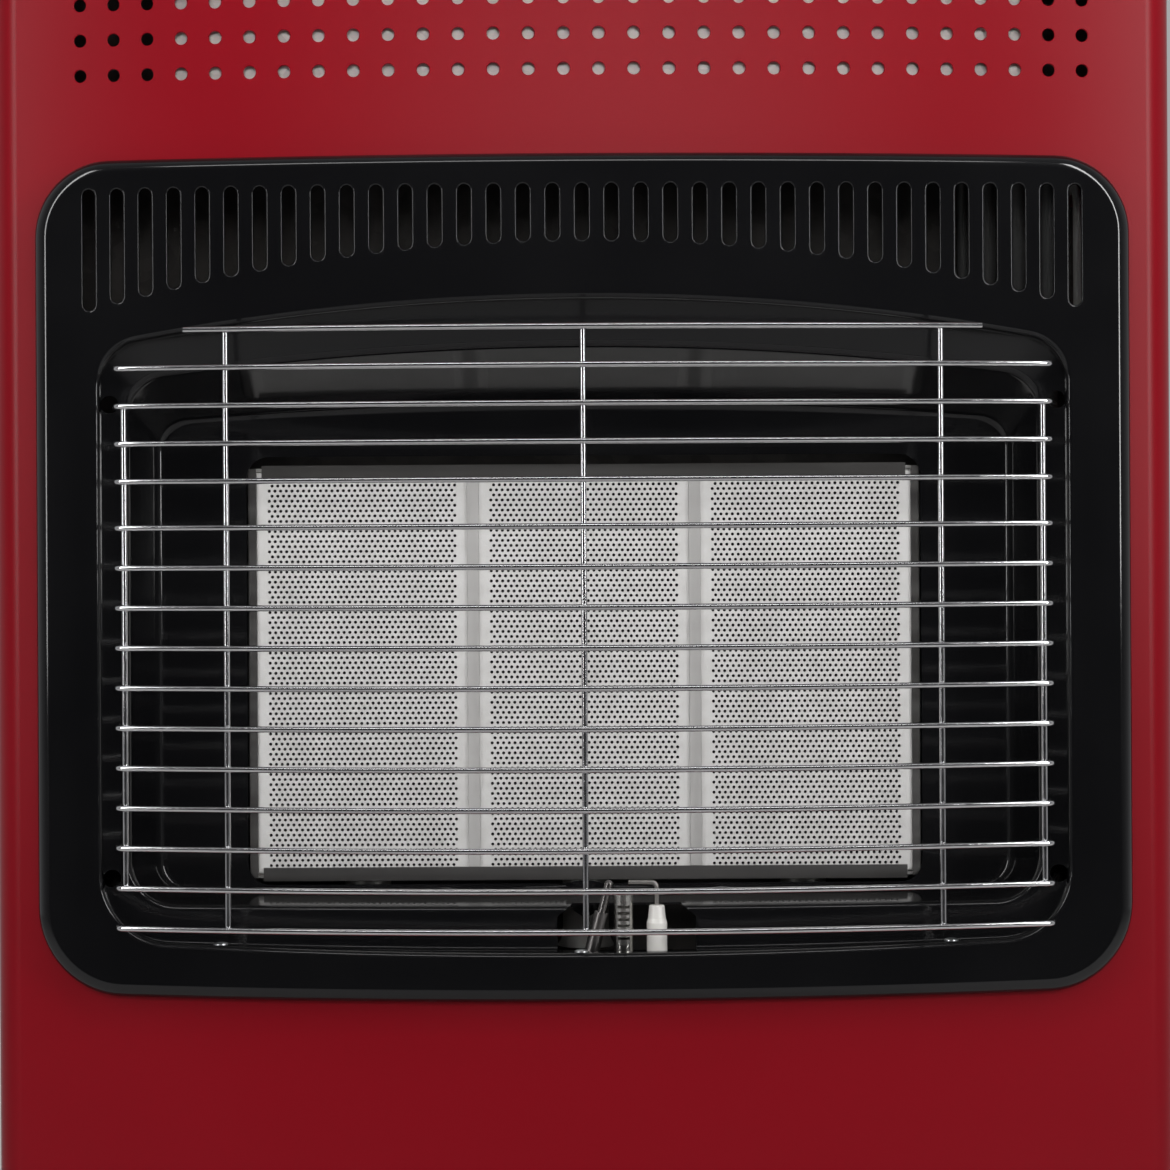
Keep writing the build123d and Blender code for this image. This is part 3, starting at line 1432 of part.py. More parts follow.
with BuildPart() as hose_nozzle:
    with BuildSketch(front_plane(tap_rear + seat_gap)):
        with Locations((knob_x, nozzle_z)):
            RegularPolygon(nozzle_hex / 2, 6, major_radius=False)
    extrude(amount=-nozzle_hex_length)
    nozzle_foot = (knob_x, tap_rear + nozzle_hex_length, nozzle_z)
    with BuildSketch(Plane(nozzle_foot, x_dir=(1, 0, 0), z_dir=(0, 0, 1))):
        with BuildLine():
            profile = [(0, 0), (nozzle_radius, 0)]
            for barb in range(nozzle_barbs):
                crest = nozzle_plain + barb * nozzle_barb_pitch
                profile += [(nozzle_radius, crest), (nozzle_radius - nozzle_barb, crest + nozzle_barb_pitch)]
            profile += [(0, nozzle_plain + nozzle_barbs * nozzle_barb_pitch)]
            Polyline(*profile, close=True)
        make_face()
    revolve(axis=Axis((knob_x, 0, nozzle_z), (0, 1, 0)))
    with BuildSketch(front_plane(tap_rear + seat_gap)):
        with Locations((knob_x, nozzle_z)):
            Circle(nozzle_bore)
    extrude(amount=-2 * nozzle_length, mode=Mode.SUBTRACT)
hose_nozzle.part.label = "hose_nozzle"
export_step(hose_nozzle.part, "parts/hose_nozzle.step")

flange_top = dish_floor + seat_gap + piezo_flange
with BuildPart() as piezo_body:
    with BuildSketch(Plane.XY.offset(piezo_low)):
        with Locations((piezo_x, dish_y)):
            Circle(piezo_neck_radius)
    extrude(amount=flange_top - piezo_low)
    with BuildSketch(Plane.XY.offset(dish_floor + seat_gap)):
        with Locations((piezo_x, dish_y)):
            Circle(piezo_flange_radius)
    extrude(amount=piezo_flange)
    fillet(piezo_body.faces().sort_by(Axis.Z)[-1].edges(), piezo_edge)
    with BuildSketch(Plane.XY.offset(flange_top)):
        with Locations((piezo_x, dish_y)):
            Circle(button_radius + button_clearance)
    extrude(amount=-button_well, mode=Mode.SUBTRACT)
piezo_body.part.label = "piezo_body"
export_step(piezo_body.part, "parts/piezo_body.step")

button_low = flange_top - button_well + button_travel + button_play
with BuildPart() as piezo_button:
    with BuildSketch(Plane.XY.offset(button_low)):
        with Locations((piezo_x, dish_y)):
            Circle(button_radius)
    extrude(amount=flange_top + button_rise - button_low)
    fillet(piezo_button.faces().sort_by(Axis.Z)[-1].edges(), button_edge)
piezo_button.part.label = "piezo_button"
export_step(piezo_button.part, "parts/piezo_button.step")

# ================================================================ hand grips
with BuildPart() as hand_grips:
    for side in side_names:
        with BuildSketch(Plane.YZ.offset(side * (side_outer + seat_gap))):
            with Locations((grip_centre_y, grip_centre_z)):
                RectangleRounded(
                    grip_length + 2 * grip_flange,
                    grip_height + 2 * grip_flange,
                    grip_height / 3,
                )
        extrude(amount=side * (sheet - seat_gap))
        with BuildSketch(Plane.YZ.offset(side * (side_outer + seat_gap))):
            with Locations((grip_centre_y, grip_centre_z)):
                RectangleRounded(
                    grip_length + 2 * grip_wall,
                    grip_height + 2 * grip_wall,
                    grip_height / 4,
                )
        extrude(amount=-side * grip_depth)
    for side in side_names:
        with BuildSketch(Plane.YZ.offset(side * half_width)):
            with Locations((grip_centre_y, grip_centre_z)):
                RectangleRounded(grip_length, grip_height, grip_height / 4 - grip_wall)
        extrude(amount=-side * (grip_depth - grip_wall), mode=Mode.SUBTRACT)
hand_grips.part.label = "hand_grips"
export_step(hand_grips.part, "parts/hand_grips.step")

# ================================================================ rear cover
cover_middle = (cover_low + cover_high) / 2
cover_height = cover_high - cover_low
hump_height = cover_height - 2 * hump_margin


def cover_form(inset):
    """The cover's outside as a block, drawn in by inset on every face but its front."""
    with BuildPart() as form:
        with BuildSketch(front_plane(cover_y)):
            with Locations((0, cover_middle)):
                Rectangle(2 * (hump_half + hump_slope - inset), hump_height + 2 * hump_slope - 2 * inset)
        with BuildSketch(front_plane(hump_rear - inset)):
            with Locations((0, cover_middle)):
                Rectangle(2 * (hump_half - inset), hump_height - 2 * inset)
        loft(ruled=True)
    return form.part


with BuildPart() as rear_cover:
    with BuildSketch(front_plane(cover_y)):
        with Locations((0, cover_middle)):
            RectangleRounded(2 * cover_half, cover_height, corner_radius / 2)
    extrude(amount=-sheet)
    add(cover_form(0))
    add(cover_form(sheet), mode=Mode.SUBTRACT)
    with BuildSketch(front_plane(cover_y)):
        for side in side_names:
            with Locations(*[(side * (cover_half - tab_length), z) for z in tab_places]):
                Rectangle(sheet, tab_height)
    extrude(amount=tab_length)
    louvre_block = (louvre_rows - 1) * louvre_pitch
    louvre_lows = (cover_low + hump_margin + 3 * louvre_pitch, cover_high - hump_margin - 3 * louvre_pitch)
    with BuildSketch(front_plane(hump_rear - 2 * sheet)):
        for end, low in zip((1, -1), louvre_lows):
            with Locations((0, low + end * louvre_block / 2)):
                with GridLocations(louvre_spacing, louvre_pitch, louvre_columns, louvre_rows):
                    SlotOverall(louvre_length, louvre_height)
    extrude(amount=-4 * sheet, mode=Mode.SUBTRACT)
rear_cover.part.label = "rear_cover"
export_step(rear_cover.part, "parts/rear_cover.step")

# ================================================================ screws
with BuildPart() as screws:
    with BuildSketch(front_plane(rail_y + sheet + seat_gap)):
        for side in side_names:
            with Locations(*rail_screw_places(side)):
                Circle(screw_head_radius)
    extrude(amount=-screw_head)
    with BuildSketch(front_plane(rail_y + sheet + seat_gap)):
        for side in side_names:
            with Locations(*rail_screw_places(side)):
                Circle(screw_radius)
    extrude(amount=4 * screw_head)
    for x, screw_y in lip_screws:
        head_low = opening_low + seat_gap + opening_low_sag * (x / opening_half) ** 2
        with BuildSketch(Plane.XY.offset(head_low)):
            with Locations((x, screw_y)):
                Circle(lip_screw_head_radius)
        extrude(amount=lip_screw_head)
        with BuildSketch(Plane.XY.offset(head_low)):
            with Locations((x, screw_y)):
                Circle(lip_screw_radius)
        extrude(amount=-lip_screw_length)
screws.part.label = "screws"
export_step(screws.part, "parts/screws.step")

# ================================================================ castors
fork_top = castor_height - socket_flange - body_gap
leg_inner = wheel_width / 2 + wheel_side_gap
socket_radius = stem_radius + running_clearance + socket_wall
with BuildPart() as castor_sockets:
    with BuildSketch(Plane.XY.offset(castor_height)):
        with Locations(*castor_places.values()):
            Circle(socket_flange_radius)
    extrude(amount=-socket_flange)
    with BuildSketch(Plane.XY.offset(castor_height)):
        with Locations(*castor_places.values()):
            Circle(socket_radius)
    extrude(amount=stem_length)
    with BuildSketch(Plane.XY.offset(castor_height - socket_flange)):
        with Locations(*castor_places.values()):
            Circle(stem_radius + running_clearance)
    extrude(amount=stem_length, mode=Mode.SUBTRACT)
castor_sockets.part.label = "castor_sockets"
export_step(castor_sockets.part, "parts/castor_sockets.step")

for corner, (stem_x, stem_y) in castor_places.items():
    axle_y = stem_y + castor_trail
    with BuildPart() as castor_fork:
        with BuildSketch(Plane.XY.offset(fork_top)):
            with Locations((stem_x, stem_y)):
                Circle(fork_plate_half)
        extrude(amount=-fork_sheet)
        with BuildSketch(Plane.YZ.offset(stem_x - leg_inner - fork_sheet)):
            with BuildLine():
                Polyline(
                    (stem_y - fork_plate_half / 2, fork_top),
                    (stem_y + fork_plate_half, fork_top),
                    (axle_y + axle_head_radius + 1, wheel_radius),
                    (axle_y, wheel_radius - axle_head_radius - 1),
                    (axle_y - axle_head_radius - 1, wheel_radius),
                    close=True,
                )
            make_face()
        extrude(amount=2 * leg_inner + 2 * fork_sheet)
        with BuildSketch(Plane.XY.offset(fork_top - fork_sheet)):
            with Locations((stem_x, stem_y)):
                Rectangle(2 * leg_inner, 8 * fork_plate_half)
        extrude(amount=-castor_height, mode=Mode.SUBTRACT)
        with BuildSketch(Plane.XY.offset(fork_top)):
            with Locations((stem_x, stem_y)):
                Circle(stem_radius)
        extrude(amount=stem_length - 2 * body_gap)
        with BuildSketch(Plane.YZ.offset(stem_x)):
            with Locations((axle_y, wheel_radius)):
                Circle(axle_radius + running_clearance)
        extrude(amount=2 * leg_inner, both=True, mode=Mode.SUBTRACT)
    castor_fork.part.label = f"castor_fork_{corner}"
    export_step(castor_fork.part, f"parts/castor_fork_{corner}.step")

    axle_half = leg_inner + fork_sheet + seat_gap
    with BuildPart() as castor_axle:
        with BuildSketch(Plane.YZ.offset(stem_x - axle_half)):
            with Locations((axle_y, wheel_radius)):
                Circle(axle_radius)
        extrude(amount=2 * axle_half)
        for side in side_names:
            with BuildSketch(Plane.YZ.offset(stem_x + side * axle_half)):
                with Locations((axle_y, wheel_radius)):
                    Circle(axle_head_radius)
            extrude(amount=side * axle_head)
    castor_axle.part.label = f"castor_axle_{corner}"
    export_step(castor_axle.part, f"parts/castor_axle_{corner}.step")

    with BuildPart() as castor_wheel:
        with BuildSketch(Plane.YZ.offset(stem_x)):
            with Locations((axle_y, wheel_radius)):
                Circle(wheel_radius)
        extrude(amount=wheel_width / 2, both=True)
        fillet(castor_wheel.edges().filter_by(GeomType.CIRCLE), wheel_edge)
        for side in side_names:
            with BuildSketch(Plane.YZ.offset(stem_x + side * wheel_width / 2)):
                with Locations((axle_y, wheel_radius)):
                    Circle(wheel_radius - wheel_rim)
                    Circle(wheel_hub_radius, mode=Mode.SUBTRACT)
            extrude(amount=-side * (wheel_width - wheel_web) / 2, mode=Mode.SUBTRACT)
        with BuildSketch(Plane.YZ.offset(stem_x)):
            with Locations((axle_y, wheel_radius)):
                Circle(axle_radius + running_clearance)
        extrude(amount=wheel_width, both=True, mode=Mode.SUBTRACT)
    castor_wheel.part.label = f"castor_wheel_{corner}"
    export_step(castor_wheel.part, f"parts/castor_wheel_{corner}.step")
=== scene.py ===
"""Looks of the cabinet gas heater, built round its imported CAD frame.

Sizes in the classes are millimetres in the row frame; meshes are written in metres. The heater
faces -Y, +Z is up and the floor is at z = 0.
"""

import logging
from dataclasses import dataclass, field
from enum import Enum
from math import asin, atan2, copysign, cos, pi, radians, sin, sqrt
from typing import Callable, Iterable, Sequence

import bmesh
import bpy
from mathutils import Matrix, Vector
from mathutils.geometry import delaunay_2d_cdt


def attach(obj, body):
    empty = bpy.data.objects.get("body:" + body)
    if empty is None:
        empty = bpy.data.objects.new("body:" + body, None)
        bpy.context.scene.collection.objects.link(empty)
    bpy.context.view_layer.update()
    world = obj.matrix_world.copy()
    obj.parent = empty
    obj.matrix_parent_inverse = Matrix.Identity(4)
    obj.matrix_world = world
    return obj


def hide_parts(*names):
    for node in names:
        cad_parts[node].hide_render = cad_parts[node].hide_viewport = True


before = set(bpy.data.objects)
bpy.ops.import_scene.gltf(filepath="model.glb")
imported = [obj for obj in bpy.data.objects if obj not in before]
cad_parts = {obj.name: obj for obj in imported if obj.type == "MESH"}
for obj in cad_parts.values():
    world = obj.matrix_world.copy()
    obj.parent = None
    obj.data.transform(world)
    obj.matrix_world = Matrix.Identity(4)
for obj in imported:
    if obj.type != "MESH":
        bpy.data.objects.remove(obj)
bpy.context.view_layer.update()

log = logging.getLogger("heater")
MM = 0.001
WELD_DISTANCE = 0.03
SAME_FACE = 0.87
PANEL_FRONT = -185.95
BOW_RADIUS = 1000.0
BOW_AXIS = PANEL_FRONT + BOW_RADIUS
FACE_RADIUS = 1009.0
PLAQUE_Y = -138.85
PLAQUE_CENTRE = 442.75
COLUMN_PITCH = 80.4
Point = tuple[float, float, float]
Flat = tuple[float, float]
Loop = list[int]
Socket = bpy.types.NodeSocket
Tree = bpy.types.NodeTree
Piece = bpy.types.Object


def spread(first: float, last: float, steps: int) -> list[float]:
    """Even values from first to last.

    Args:
        first: first value.
        last: last value.
        steps: number of steps between them.

    Returns:
        steps + 1 values.
    """
    return [first + (last - first) * step / steps for step in range(steps + 1)]


def bow_y(x: float, radius: float) -> float:
    """Y of a surface bowed about the panel's upright axis.

    Args:
        x: place across the heater.
        radius: radius of the surface about the axis.

    Returns:
        Y in millimetres.
    """
    return BOW_AXIS - sqrt(radius * radius - x * x)


def round_angles(steps: int, shift: float = 0.0) -> list[float]:
    """Even angles round a full turn.

    Args:
        steps: how many.
        shift: share of a step that they are turned by.

    Returns:
        The angles in radians.
    """
    return [2 * pi * (step + shift) / steps for step in range(steps)]


def arc(x: float, y: float, radius: float, start: float, end: float, steps: int) -> list[Flat]:
    """Points along part of a circle.

    Args:
        x: the circle's middle across.
        y: its middle up.
        radius: its radius.
        start: first angle, from the right turning upward, in radians.
        end: last angle.
        steps: number of steps between them.

    Returns:
        The points, with both ends.
    """
    return [(x + radius * cos(a), y + radius * sin(a)) for a in spread(start, end, steps)]


def round_loop(x: float, y: float, radius: float, steps: int) -> list[Flat]:
    """Points round a circle.

    Args:
        x: the circle's middle across.
        y: its middle up.
        radius: its radius.
        steps: how many points.

    Returns:
        The points, from the right turning upward.
    """
    return [(x + radius * cos(a), y + radius * sin(a)) for a in round_angles(steps)]


def placed(name: str, data: bpy.types.ID | None) -> Piece:
    """Makes an object of some data and links it to the scene.

    Args:
        name: the object's name.
        data: its mesh, curve, lamp or camera.

    Returns:
        The object, at the origin.
    """
    made = bpy.data.objects.new(name, data)
    bpy.context.scene.collection.objects.link(made)
    return made


def in_metres(point: Iterable[float]) -> tuple[float, ...]:
    """A point or size in millimetres, turned to metres."""
    return tuple(c * MM for c in point)


def spot_mesh(name: str, spots: Sequence[Point] = ()) -> Piece:
    """Mesh of loose points, for a node tree to put pieces on.

    Args:
        name: the object's name.
        spots: its points in millimetres.

    Returns:
        The object.
    """
    mesh = bpy.data.meshes.new(name)
    mesh.from_pydata([in_metres(spot) for spot in spots], [], [])
    return placed(name, mesh)


# ---------------------------------------------------------------- node trees
class Graph:
    """Adds and links nodes in one node tree."""

    def __init__(self, tree: Tree) -> None:
        """Keeps the tree that the nodes go into."""
        self.tree = tree

    def add(self, kind: str, inputs: dict | None = None, **settings) -> bpy.types.Node:
        """Adds one node.

        Args:
            kind: node type name.
            inputs: values or sockets for its inputs, by name or index.
            settings: node properties.

        Returns:
            The new node.
        """
        node = self.tree.nodes.new(kind)
        for name, value in settings.items():
            setattr(node, name, value)
        for name, value in (inputs or {}).items():
            self.feed(node.inputs[name], value)
        return node

    def feed(self, socket: Socket, value) -> None:
        """Links a socket to a socket, or sets its value."""
        if isinstance(value, Socket):
            self.tree.links.new(value, socket)
        else:
            socket.default_value = value

    def math(self, operation: str, first, second=0.0, clamp: bool = False) -> Socket:
        """Adds a math node.

        Args:
            operation: name of the operation.
            first: first value or socket.
            second: second value or socket.
            clamp: keep the result from 0 to 1.

        Returns:
            The result's socket.
        """
        node = self.add("ShaderNodeMath", {0: first, 1: second}, operation=operation, use_clamp=clamp)
        return node.outputs[0]

    def plus(self, first, second, clamp: bool = False) -> Socket:
        """Adds two values or sockets."""
        return self.math("ADD", first, second, clamp)

    def minus(self, first, second) -> Socket:
        """Takes the second value or socket from the first."""
        return self.math("SUBTRACT", first, second)

    def times(self, first, second) -> Socket:
        """Multiplies two values or sockets."""
        return self.math("MULTIPLY", first, second)

    def vectors(self, operation: str, first, second) -> Socket:
        """Adds a vector math node.

        Args:
            operation: name of the operation.
            first: first vector or socket.
            second: second vector or socket, or the factor of a SCALE.

        Returns:
            The result's socket.
        """
        other = "Scale" if operation == "SCALE" else 1
        return self.add("ShaderNodeVectorMath", {0: first, other: second}, operation=operation).outputs[0]

    def vector(self, x=0.0, y=0.0, z=0.0) -> Socket:
        """Joins three values or sockets to a vector."""
        return self.add("ShaderNodeCombineXYZ", {0: x, 1: y, 2: z}).outputs[0]

    def parts(self, vector: Socket) -> bpy.types.bpy_prop_collection:
        """Splits a vector into the sockets of its x, y and z."""
        return self.add("ShaderNodeSeparateXYZ", {0: vector}).outputs

    def place(self) -> Socket:
        """The shaded point in the object's own coordinates."""
        return self.add("ShaderNodeTexCoord").outputs["Object"]

    def noise(self, where: Socket, scale, detail) -> Socket:
        """Adds a noise texture.

        Args:
            where: socket of the place.
            scale: its scale, a value or a socket.
            detail: its detail, a value or a socket.

        Returns:
            Socket of the noise's value.
        """
        return self.add("ShaderNodeTexNoise", {"Vector": where, "Scale": scale, "Detail": detail}).outputs[0]

    def shared(self, effect: "Effect", **values: float) -> bpy.types.Node:
        """Places a shared effect's group.

        Args:
            effect: which effect.
            values: its inputs by name, with _ for a space.

        Returns:
            The group node.
        """
        node = self.add("ShaderNodeGroup", node_tree=EFFECTS.group(effect))
        for name, value in values.items():
            node.inputs[name.replace("_", " ")].default_value = value
        return node

    def mix(self, factor, first, second) -> Socket:
        """Adds a colour mix.

        Args:
            factor: share of the second colour.
            first: first colour or socket.
            second: second colour or socket.

        Returns:
            The result's socket.
        """
        node = self.add("ShaderNodeMix", data_type="RGBA")
        self.feed(node.inputs[0], factor)
        self.feed(node.inputs[6], first)
        self.feed(node.inputs[7], second)
        return node.outputs[2]

    def ramp(self, value, low: float, high: float, start: float = 0.0, end: float = 1.0):
        """Adds a clamped map range.

        Args:
            value: socket to map.
            low: value that gives start.
            high: value that gives end.
            start: result at low.
            end: result at high.

        Returns:
            The result's socket.
        """
        node = self.add("ShaderNodeMapRange", {0: value, 1: low, 2: high, 3: start, 4: end})
        return node.outputs[0]


class Effect(Enum):
    """Shader groups that materials share."""

    GRAIN = "fine_grain"
    LINES = "drawn_lines"
    SPANGLE = "zinc_spangle"
    DUST = "settled_dust"
    RUB = "handling_rub"


class EffectLibrary:
    """Builds each shared shader group once, by the method of the effect's name."""

    def __init__(self) -> None:
        """Starts with no group built."""
        self.built: dict[Effect, Tree] = {}

    def group(self, effect: Effect) -> Tree:
        """Gives an effect's group, and builds it the first time.

        Args:
            effect: which effect.

        Returns:
            The shader group.
        """
        if effect not in self.built:
            self.built[effect] = getattr(self, effect.value)()
        return self.built[effect]

    @staticmethod
    def start(name: str, inputs: dict[str, float], outputs: Sequence[str]) -> tuple[Graph, dict, dict]:
        """Opens a group with float inputs and outputs.

        Args:
            name: the group's name.
            inputs: input names and defaults.
            outputs: output names.

        Returns:
            The graph, its input sockets and its output sockets, by name.
        """
        tree = bpy.data.node_groups.new(name, "ShaderNodeTree")
        for label, value in inputs.items():
            socket = tree.interface.new_socket(label, in_out="INPUT", socket_type="NodeSocketFloat")
            socket.default_value = value
        for label in outputs:
            tree.interface.new_socket(label, in_out="OUTPUT", socket_type="NodeSocketFloat")
        graph = Graph(tree)
        entry = graph.add("NodeGroupInput")
        exit_node = graph.add("NodeGroupOutput")
        return graph, {n: entry.outputs[n] for n in inputs}, {n: exit_node.inputs[n] for n in outputs}

    def fine_grain(self) -> Tree:
        """Even fine grain over broad soft blotches, for paint, enamel, castings and mouldings."""
        graph, given, out = self.start(
            "fine_grain", {"Grain": 900.0, "Blotch": 14.0, "Detail": 4.0}, ("Height", "Blotches")
        )
        place = graph.place()
        graph.feed(out["Height"], graph.noise(place, given["Grain"], given["Detail"]))
        graph.feed(out["Blotches"], graph.ramp(graph.noise(place, given["Blotch"], 3.0), 0.3, 0.7))
        return graph.tree

    def drawn_lines(self) -> Tree:
        """Fine lines along one direction, as on drawn or brushed metal."""
        graph, given, out = self.start(
            "drawn_lines", {"Across X": 900.0, "Across Y": 900.0, "Across Z": 12.0}, ("Height", "Streaks")
        )
        stretched = graph.vectors("MULTIPLY", graph.place(), graph.vector(*given.values()))
        graph.feed(out["Height"], graph.noise(stretched, 1.0, 3.0))
        graph.feed(out["Streaks"], graph.ramp(graph.noise(stretched, 0.13, 2.0), 0.35, 0.65))
        return graph.tree

    def zinc_spangle(self) -> Tree:
        """Flat crystals of a zinc coat, each with its own tone."""
        graph, given, out = self.start("zinc_spangle", {"Crystals": 170.0}, ("Tone", "Height"))
        place = graph.place()
        bend = graph.add("ShaderNodeTexNoise", {"Vector": place, "Scale": 120.0, "Detail": 2.0})
        shifted = graph.vectors("ADD", place, graph.vectors("SCALE", bend.outputs["Color"], 0.006))
        cells = graph.add("ShaderNodeTexVoronoi", {"Vector": shifted, "Scale": given["Crystals"]})
        tone = graph.add("ShaderNodeSeparateColor", {0: cells.outputs["Color"]})
        graph.feed(out["Tone"], tone.outputs[0])
        graph.feed(out["Height"], graph.noise(place, 1500.0, 2.0))
        return graph.tree

    def settled_dust(self) -> Tree:
        """Thin dust that lies where a surface faces up."""
        graph, given, out = self.start("settled_dust", {"Amount": 0.3, "Patches": 30.0}, ("Mask",))
        facing = graph.parts(graph.add("ShaderNodeNewGeometry").outputs["Normal"])
        upward = graph.ramp(facing[2], 0.55, 1.0)
        uneven = graph.ramp(graph.noise(graph.place(), given["Patches"], 8.0), 0.35, 0.75)
        graph.feed(out["Mask"], graph.times(graph.times(upward, uneven), given["Amount"]))
        return graph.tree

    def handling_rub(self) -> Tree:
        """Faint short scratches and polished spots left by hands and cloths."""
        graph, given, out = self.start("handling_rub", {"Amount": 0.5, "Length": 40.0}, ("Mask",))
        place = graph.place()
        masks = []
        for turn in (0.5, -0.9):
            turned = graph.add("ShaderNodeMapping", {"Vector": place, "Rotation": (turn, turn, 0.3 * turn)})
            stretch = graph.vectors("MULTIPLY", turned.outputs[0], (1.0, 30.0, 30.0))
            masks.append(graph.ramp(graph.noise(stretch, given["Length"], 2.0), 0.68, 0.74))
        graph.feed(out["Mask"], graph.times(graph.plus(*masks, clamp=True), given["Amount"]))
        return graph.tree


EFFECTS = EffectLibrary()
COATED: dict[str, bpy.types.Material] = {}
DUST_COLOUR = (0.42, 0.40, 0.37)
DUST_ROUGHENS = 0.5
RUB_ROUGHENS = 0.12


@dataclass(frozen=True)
class Finish:
    """One surface finish: two tones, their spread, gloss and relief.

    The relief is grain of the given scale per metre, unless the finish states its crystals' scale or
    the three scales across its drawn lines; depth is the relief's depth in millimetres.
    """

    name: str
    slot: str
    colour: Point
    tone: Point
    roughness: float
    rough_spread: float = 0.06
    metallic: float = 0.0
    coat: float = 0.0
    scale: float = 900.0
    crystals: float = 0.0
    lines: Point | None = None
    depth: float = 0.01
    blotch: float = 14.0
    dust: float = 0.1
    rub: float = 0.15
    specular: float = 0.5

    def relief(self, graph: Graph) -> tuple[Socket, Socket]:
        """Places the finish's shared relief group.

        Args:
            graph: the material's graph.

        Returns:
            Sockets of the relief's height and of its broad pattern.
        """
        if self.lines:
            across = dict(zip(("Across_X", "Across_Y", "Across_Z"), self.lines))
            node, broad = graph.shared(Effect.LINES, **across), "Streaks"
        elif self.crystals:
            node, broad = graph.shared(Effect.SPANGLE, Crystals=self.crystals), "Tone"
        else:
            node, broad = graph.shared(Effect.GRAIN, Grain=self.scale, Blotch=self.blotch), "Blotches"
        return node.outputs["Height"], node.outputs[broad]

    def shade(self, graph: Graph, colour: Socket) -> Socket:
        """Changes the base colour further. Plain finishes leave it as it is."""
        return colour

    def material(self) -> bpy.types.Material:
        """Builds the material once, and gives it again later.

        Returns:
            The finish's material.
        """
        if self.name in COATED:
            return COATED[self.name]
        made = COATED[self.name] = bpy.data.materials.new(f"{self.name}_finish")
        made.use_nodes = True
        graph = Graph(made.node_tree)
        shader = made.node_tree.nodes["Principled BSDF"]
        height, broad = self.relief(graph)
        dust = graph.shared(Effect.DUST, Amount=self.dust).outputs["Mask"]
        rub = graph.shared(Effect.RUB, Amount=self.rub).outputs["Mask"]
        colour = self.shade(graph, graph.mix(broad, (*self.colour, 1.0), (*self.tone, 1.0)))
        colour = graph.mix(dust, colour, (*DUST_COLOUR, 1.0))
        least, most = self.roughness - self.rough_spread, self.roughness + self.rough_spread
        rough = graph.ramp(broad, 0.0, 1.0, least, most)
        rough = graph.plus(rough, graph.times(rub, RUB_ROUGHENS), clamp=True)
        rough = graph.plus(rough, graph.times(dust, DUST_ROUGHENS), clamp=True)
        bump = {"Strength": 1.0, "Distance": self.depth * MM, "Height": height}
        for name, value in {
            "Base Color": colour,
            "Roughness": rough,
            "Normal": graph.add("ShaderNodeBump", bump).outputs[0],
            "Metallic": self.metallic,
            "Coat Weight": self.coat,
            "Specular IOR Level": self.specular,
        }.items():
            graph.feed(shader.inputs[name], value)
        return made


@dataclass(frozen=True)
class CeramicFinish(Finish):
    """Unglazed plaque ceramic, with painted shade that darkens it down its holes."""

    # Painted shade: between these depths behind the face the colour fades to the deep near-black.
    shade_from: float = PLAQUE_Y + 0.5
    shade_to: float = PLAQUE_Y + 2.2
    deep: Point = (0.012, 0.012, 0.012)

    def shade(self, graph: Graph, colour: Socket) -> Socket:
        """Paints shade into the colour with depth behind the plaque's face.

        Args:
            graph: the material's graph.
            colour: the colour so far.

        Returns:
            The darkened colour.
        """
        # painted shade, deeper down each hole
        depth = graph.ramp(graph.parts(graph.place())[1], self.shade_from * MM, self.shade_to * MM)
        return graph.mix(depth, colour, (*self.deep, 1.0))


def grey(value: float) -> Point:
    """A neutral colour."""
    return (value, value, value)


RED_COAT = Finish(
    "red_powder_coat", "red_coat", (0.206, 0.0007, 0.0060), (0.218, 0.0009, 0.0068), 0.31, 0.02,
    scale=1500.0, depth=0.014, blotch=9.0, dust=0.02, rub=0.1, specular=0.22,
)
DARK_COAT = Finish(
    "dark_powder_coat", "dark_coat", grey(0.014), grey(0.018), 0.42, 0.03,
    scale=1300.0, depth=0.03, blotch=9.0, dust=0.15,
)
BLACK_ENAMEL = Finish(
    "black_enamel", "black_enamel", (0.0035, 0.0035, 0.004), (0.0045, 0.0045, 0.005), 0.10, 0.02,
    scale=160.0, depth=0.006, blotch=20.0, dust=0.02, rub=0.1,
)
# Zinc coat with painted light: set pale, warm and almost non-metallic so the deflector seen through the vent
# holes reads lit; the spangle is the coat's own.
GALVANISED_PAINTED_LIGHT = Finish(
    "galvanised_sheet", "galvanised", (0.66, 0.61, 0.59), (0.80, 0.75, 0.72), 0.42, 0.06, metallic=0.05,
    crystals=170.0, depth=0.004, dust=0.05,
)
# Painted shade: near-black sheet for galvanised inner parts seen through the slots, so that the slots stay
# dark.
PAINTED_SHADE_SHEET = Finish(
    "heat_stained_sheet", "galvanised", (0.045, 0.042, 0.040), (0.075, 0.070, 0.066), 0.6, 0.08,
    metallic=0.3, crystals=170.0, depth=0.004, dust=0.12,
)
BURNER_STEEL = Finish(
    "burner_steel", "aluminised", (0.10, 0.098, 0.095), (0.15, 0.147, 0.14), 0.5, 0.08, metallic=0.6,
    scale=700.0, depth=0.01, blotch=60.0, dust=0.1,
)
ALUMINISED = Finish(
    "aluminised_steel", "aluminised", (0.45, 0.44, 0.42), (0.56, 0.55, 0.53), 0.45, 0.08, metallic=0.8,
    scale=700.0, depth=0.01, blotch=60.0, dust=0.1,
)
CLAMP_STEEL = Finish(
    "clamp_steel", "clamp_steel", (0.13, 0.125, 0.12), (0.19, 0.185, 0.18), 0.34, 0.06, metallic=0.85,
    lines=(30.0, 900.0, 900.0), depth=0.004, dust=0.03,
)
DIVIDER_STEEL = Finish(
    "divider_steel", "clamp_steel", (0.44, 0.43, 0.42), (0.54, 0.53, 0.52), 0.5, 0.08, metallic=0.25,
    lines=(900.0, 900.0, 30.0), depth=0.006, dust=0.0,
)
CHROME = Finish(
    "chromed_wire", "chrome_wire", (0.66, 0.66, 0.67), (0.72, 0.72, 0.73), 0.13, 0.03, metallic=1.0,
    scale=500.0, depth=0.004, blotch=200.0, dust=0.0, rub=0.2,
)
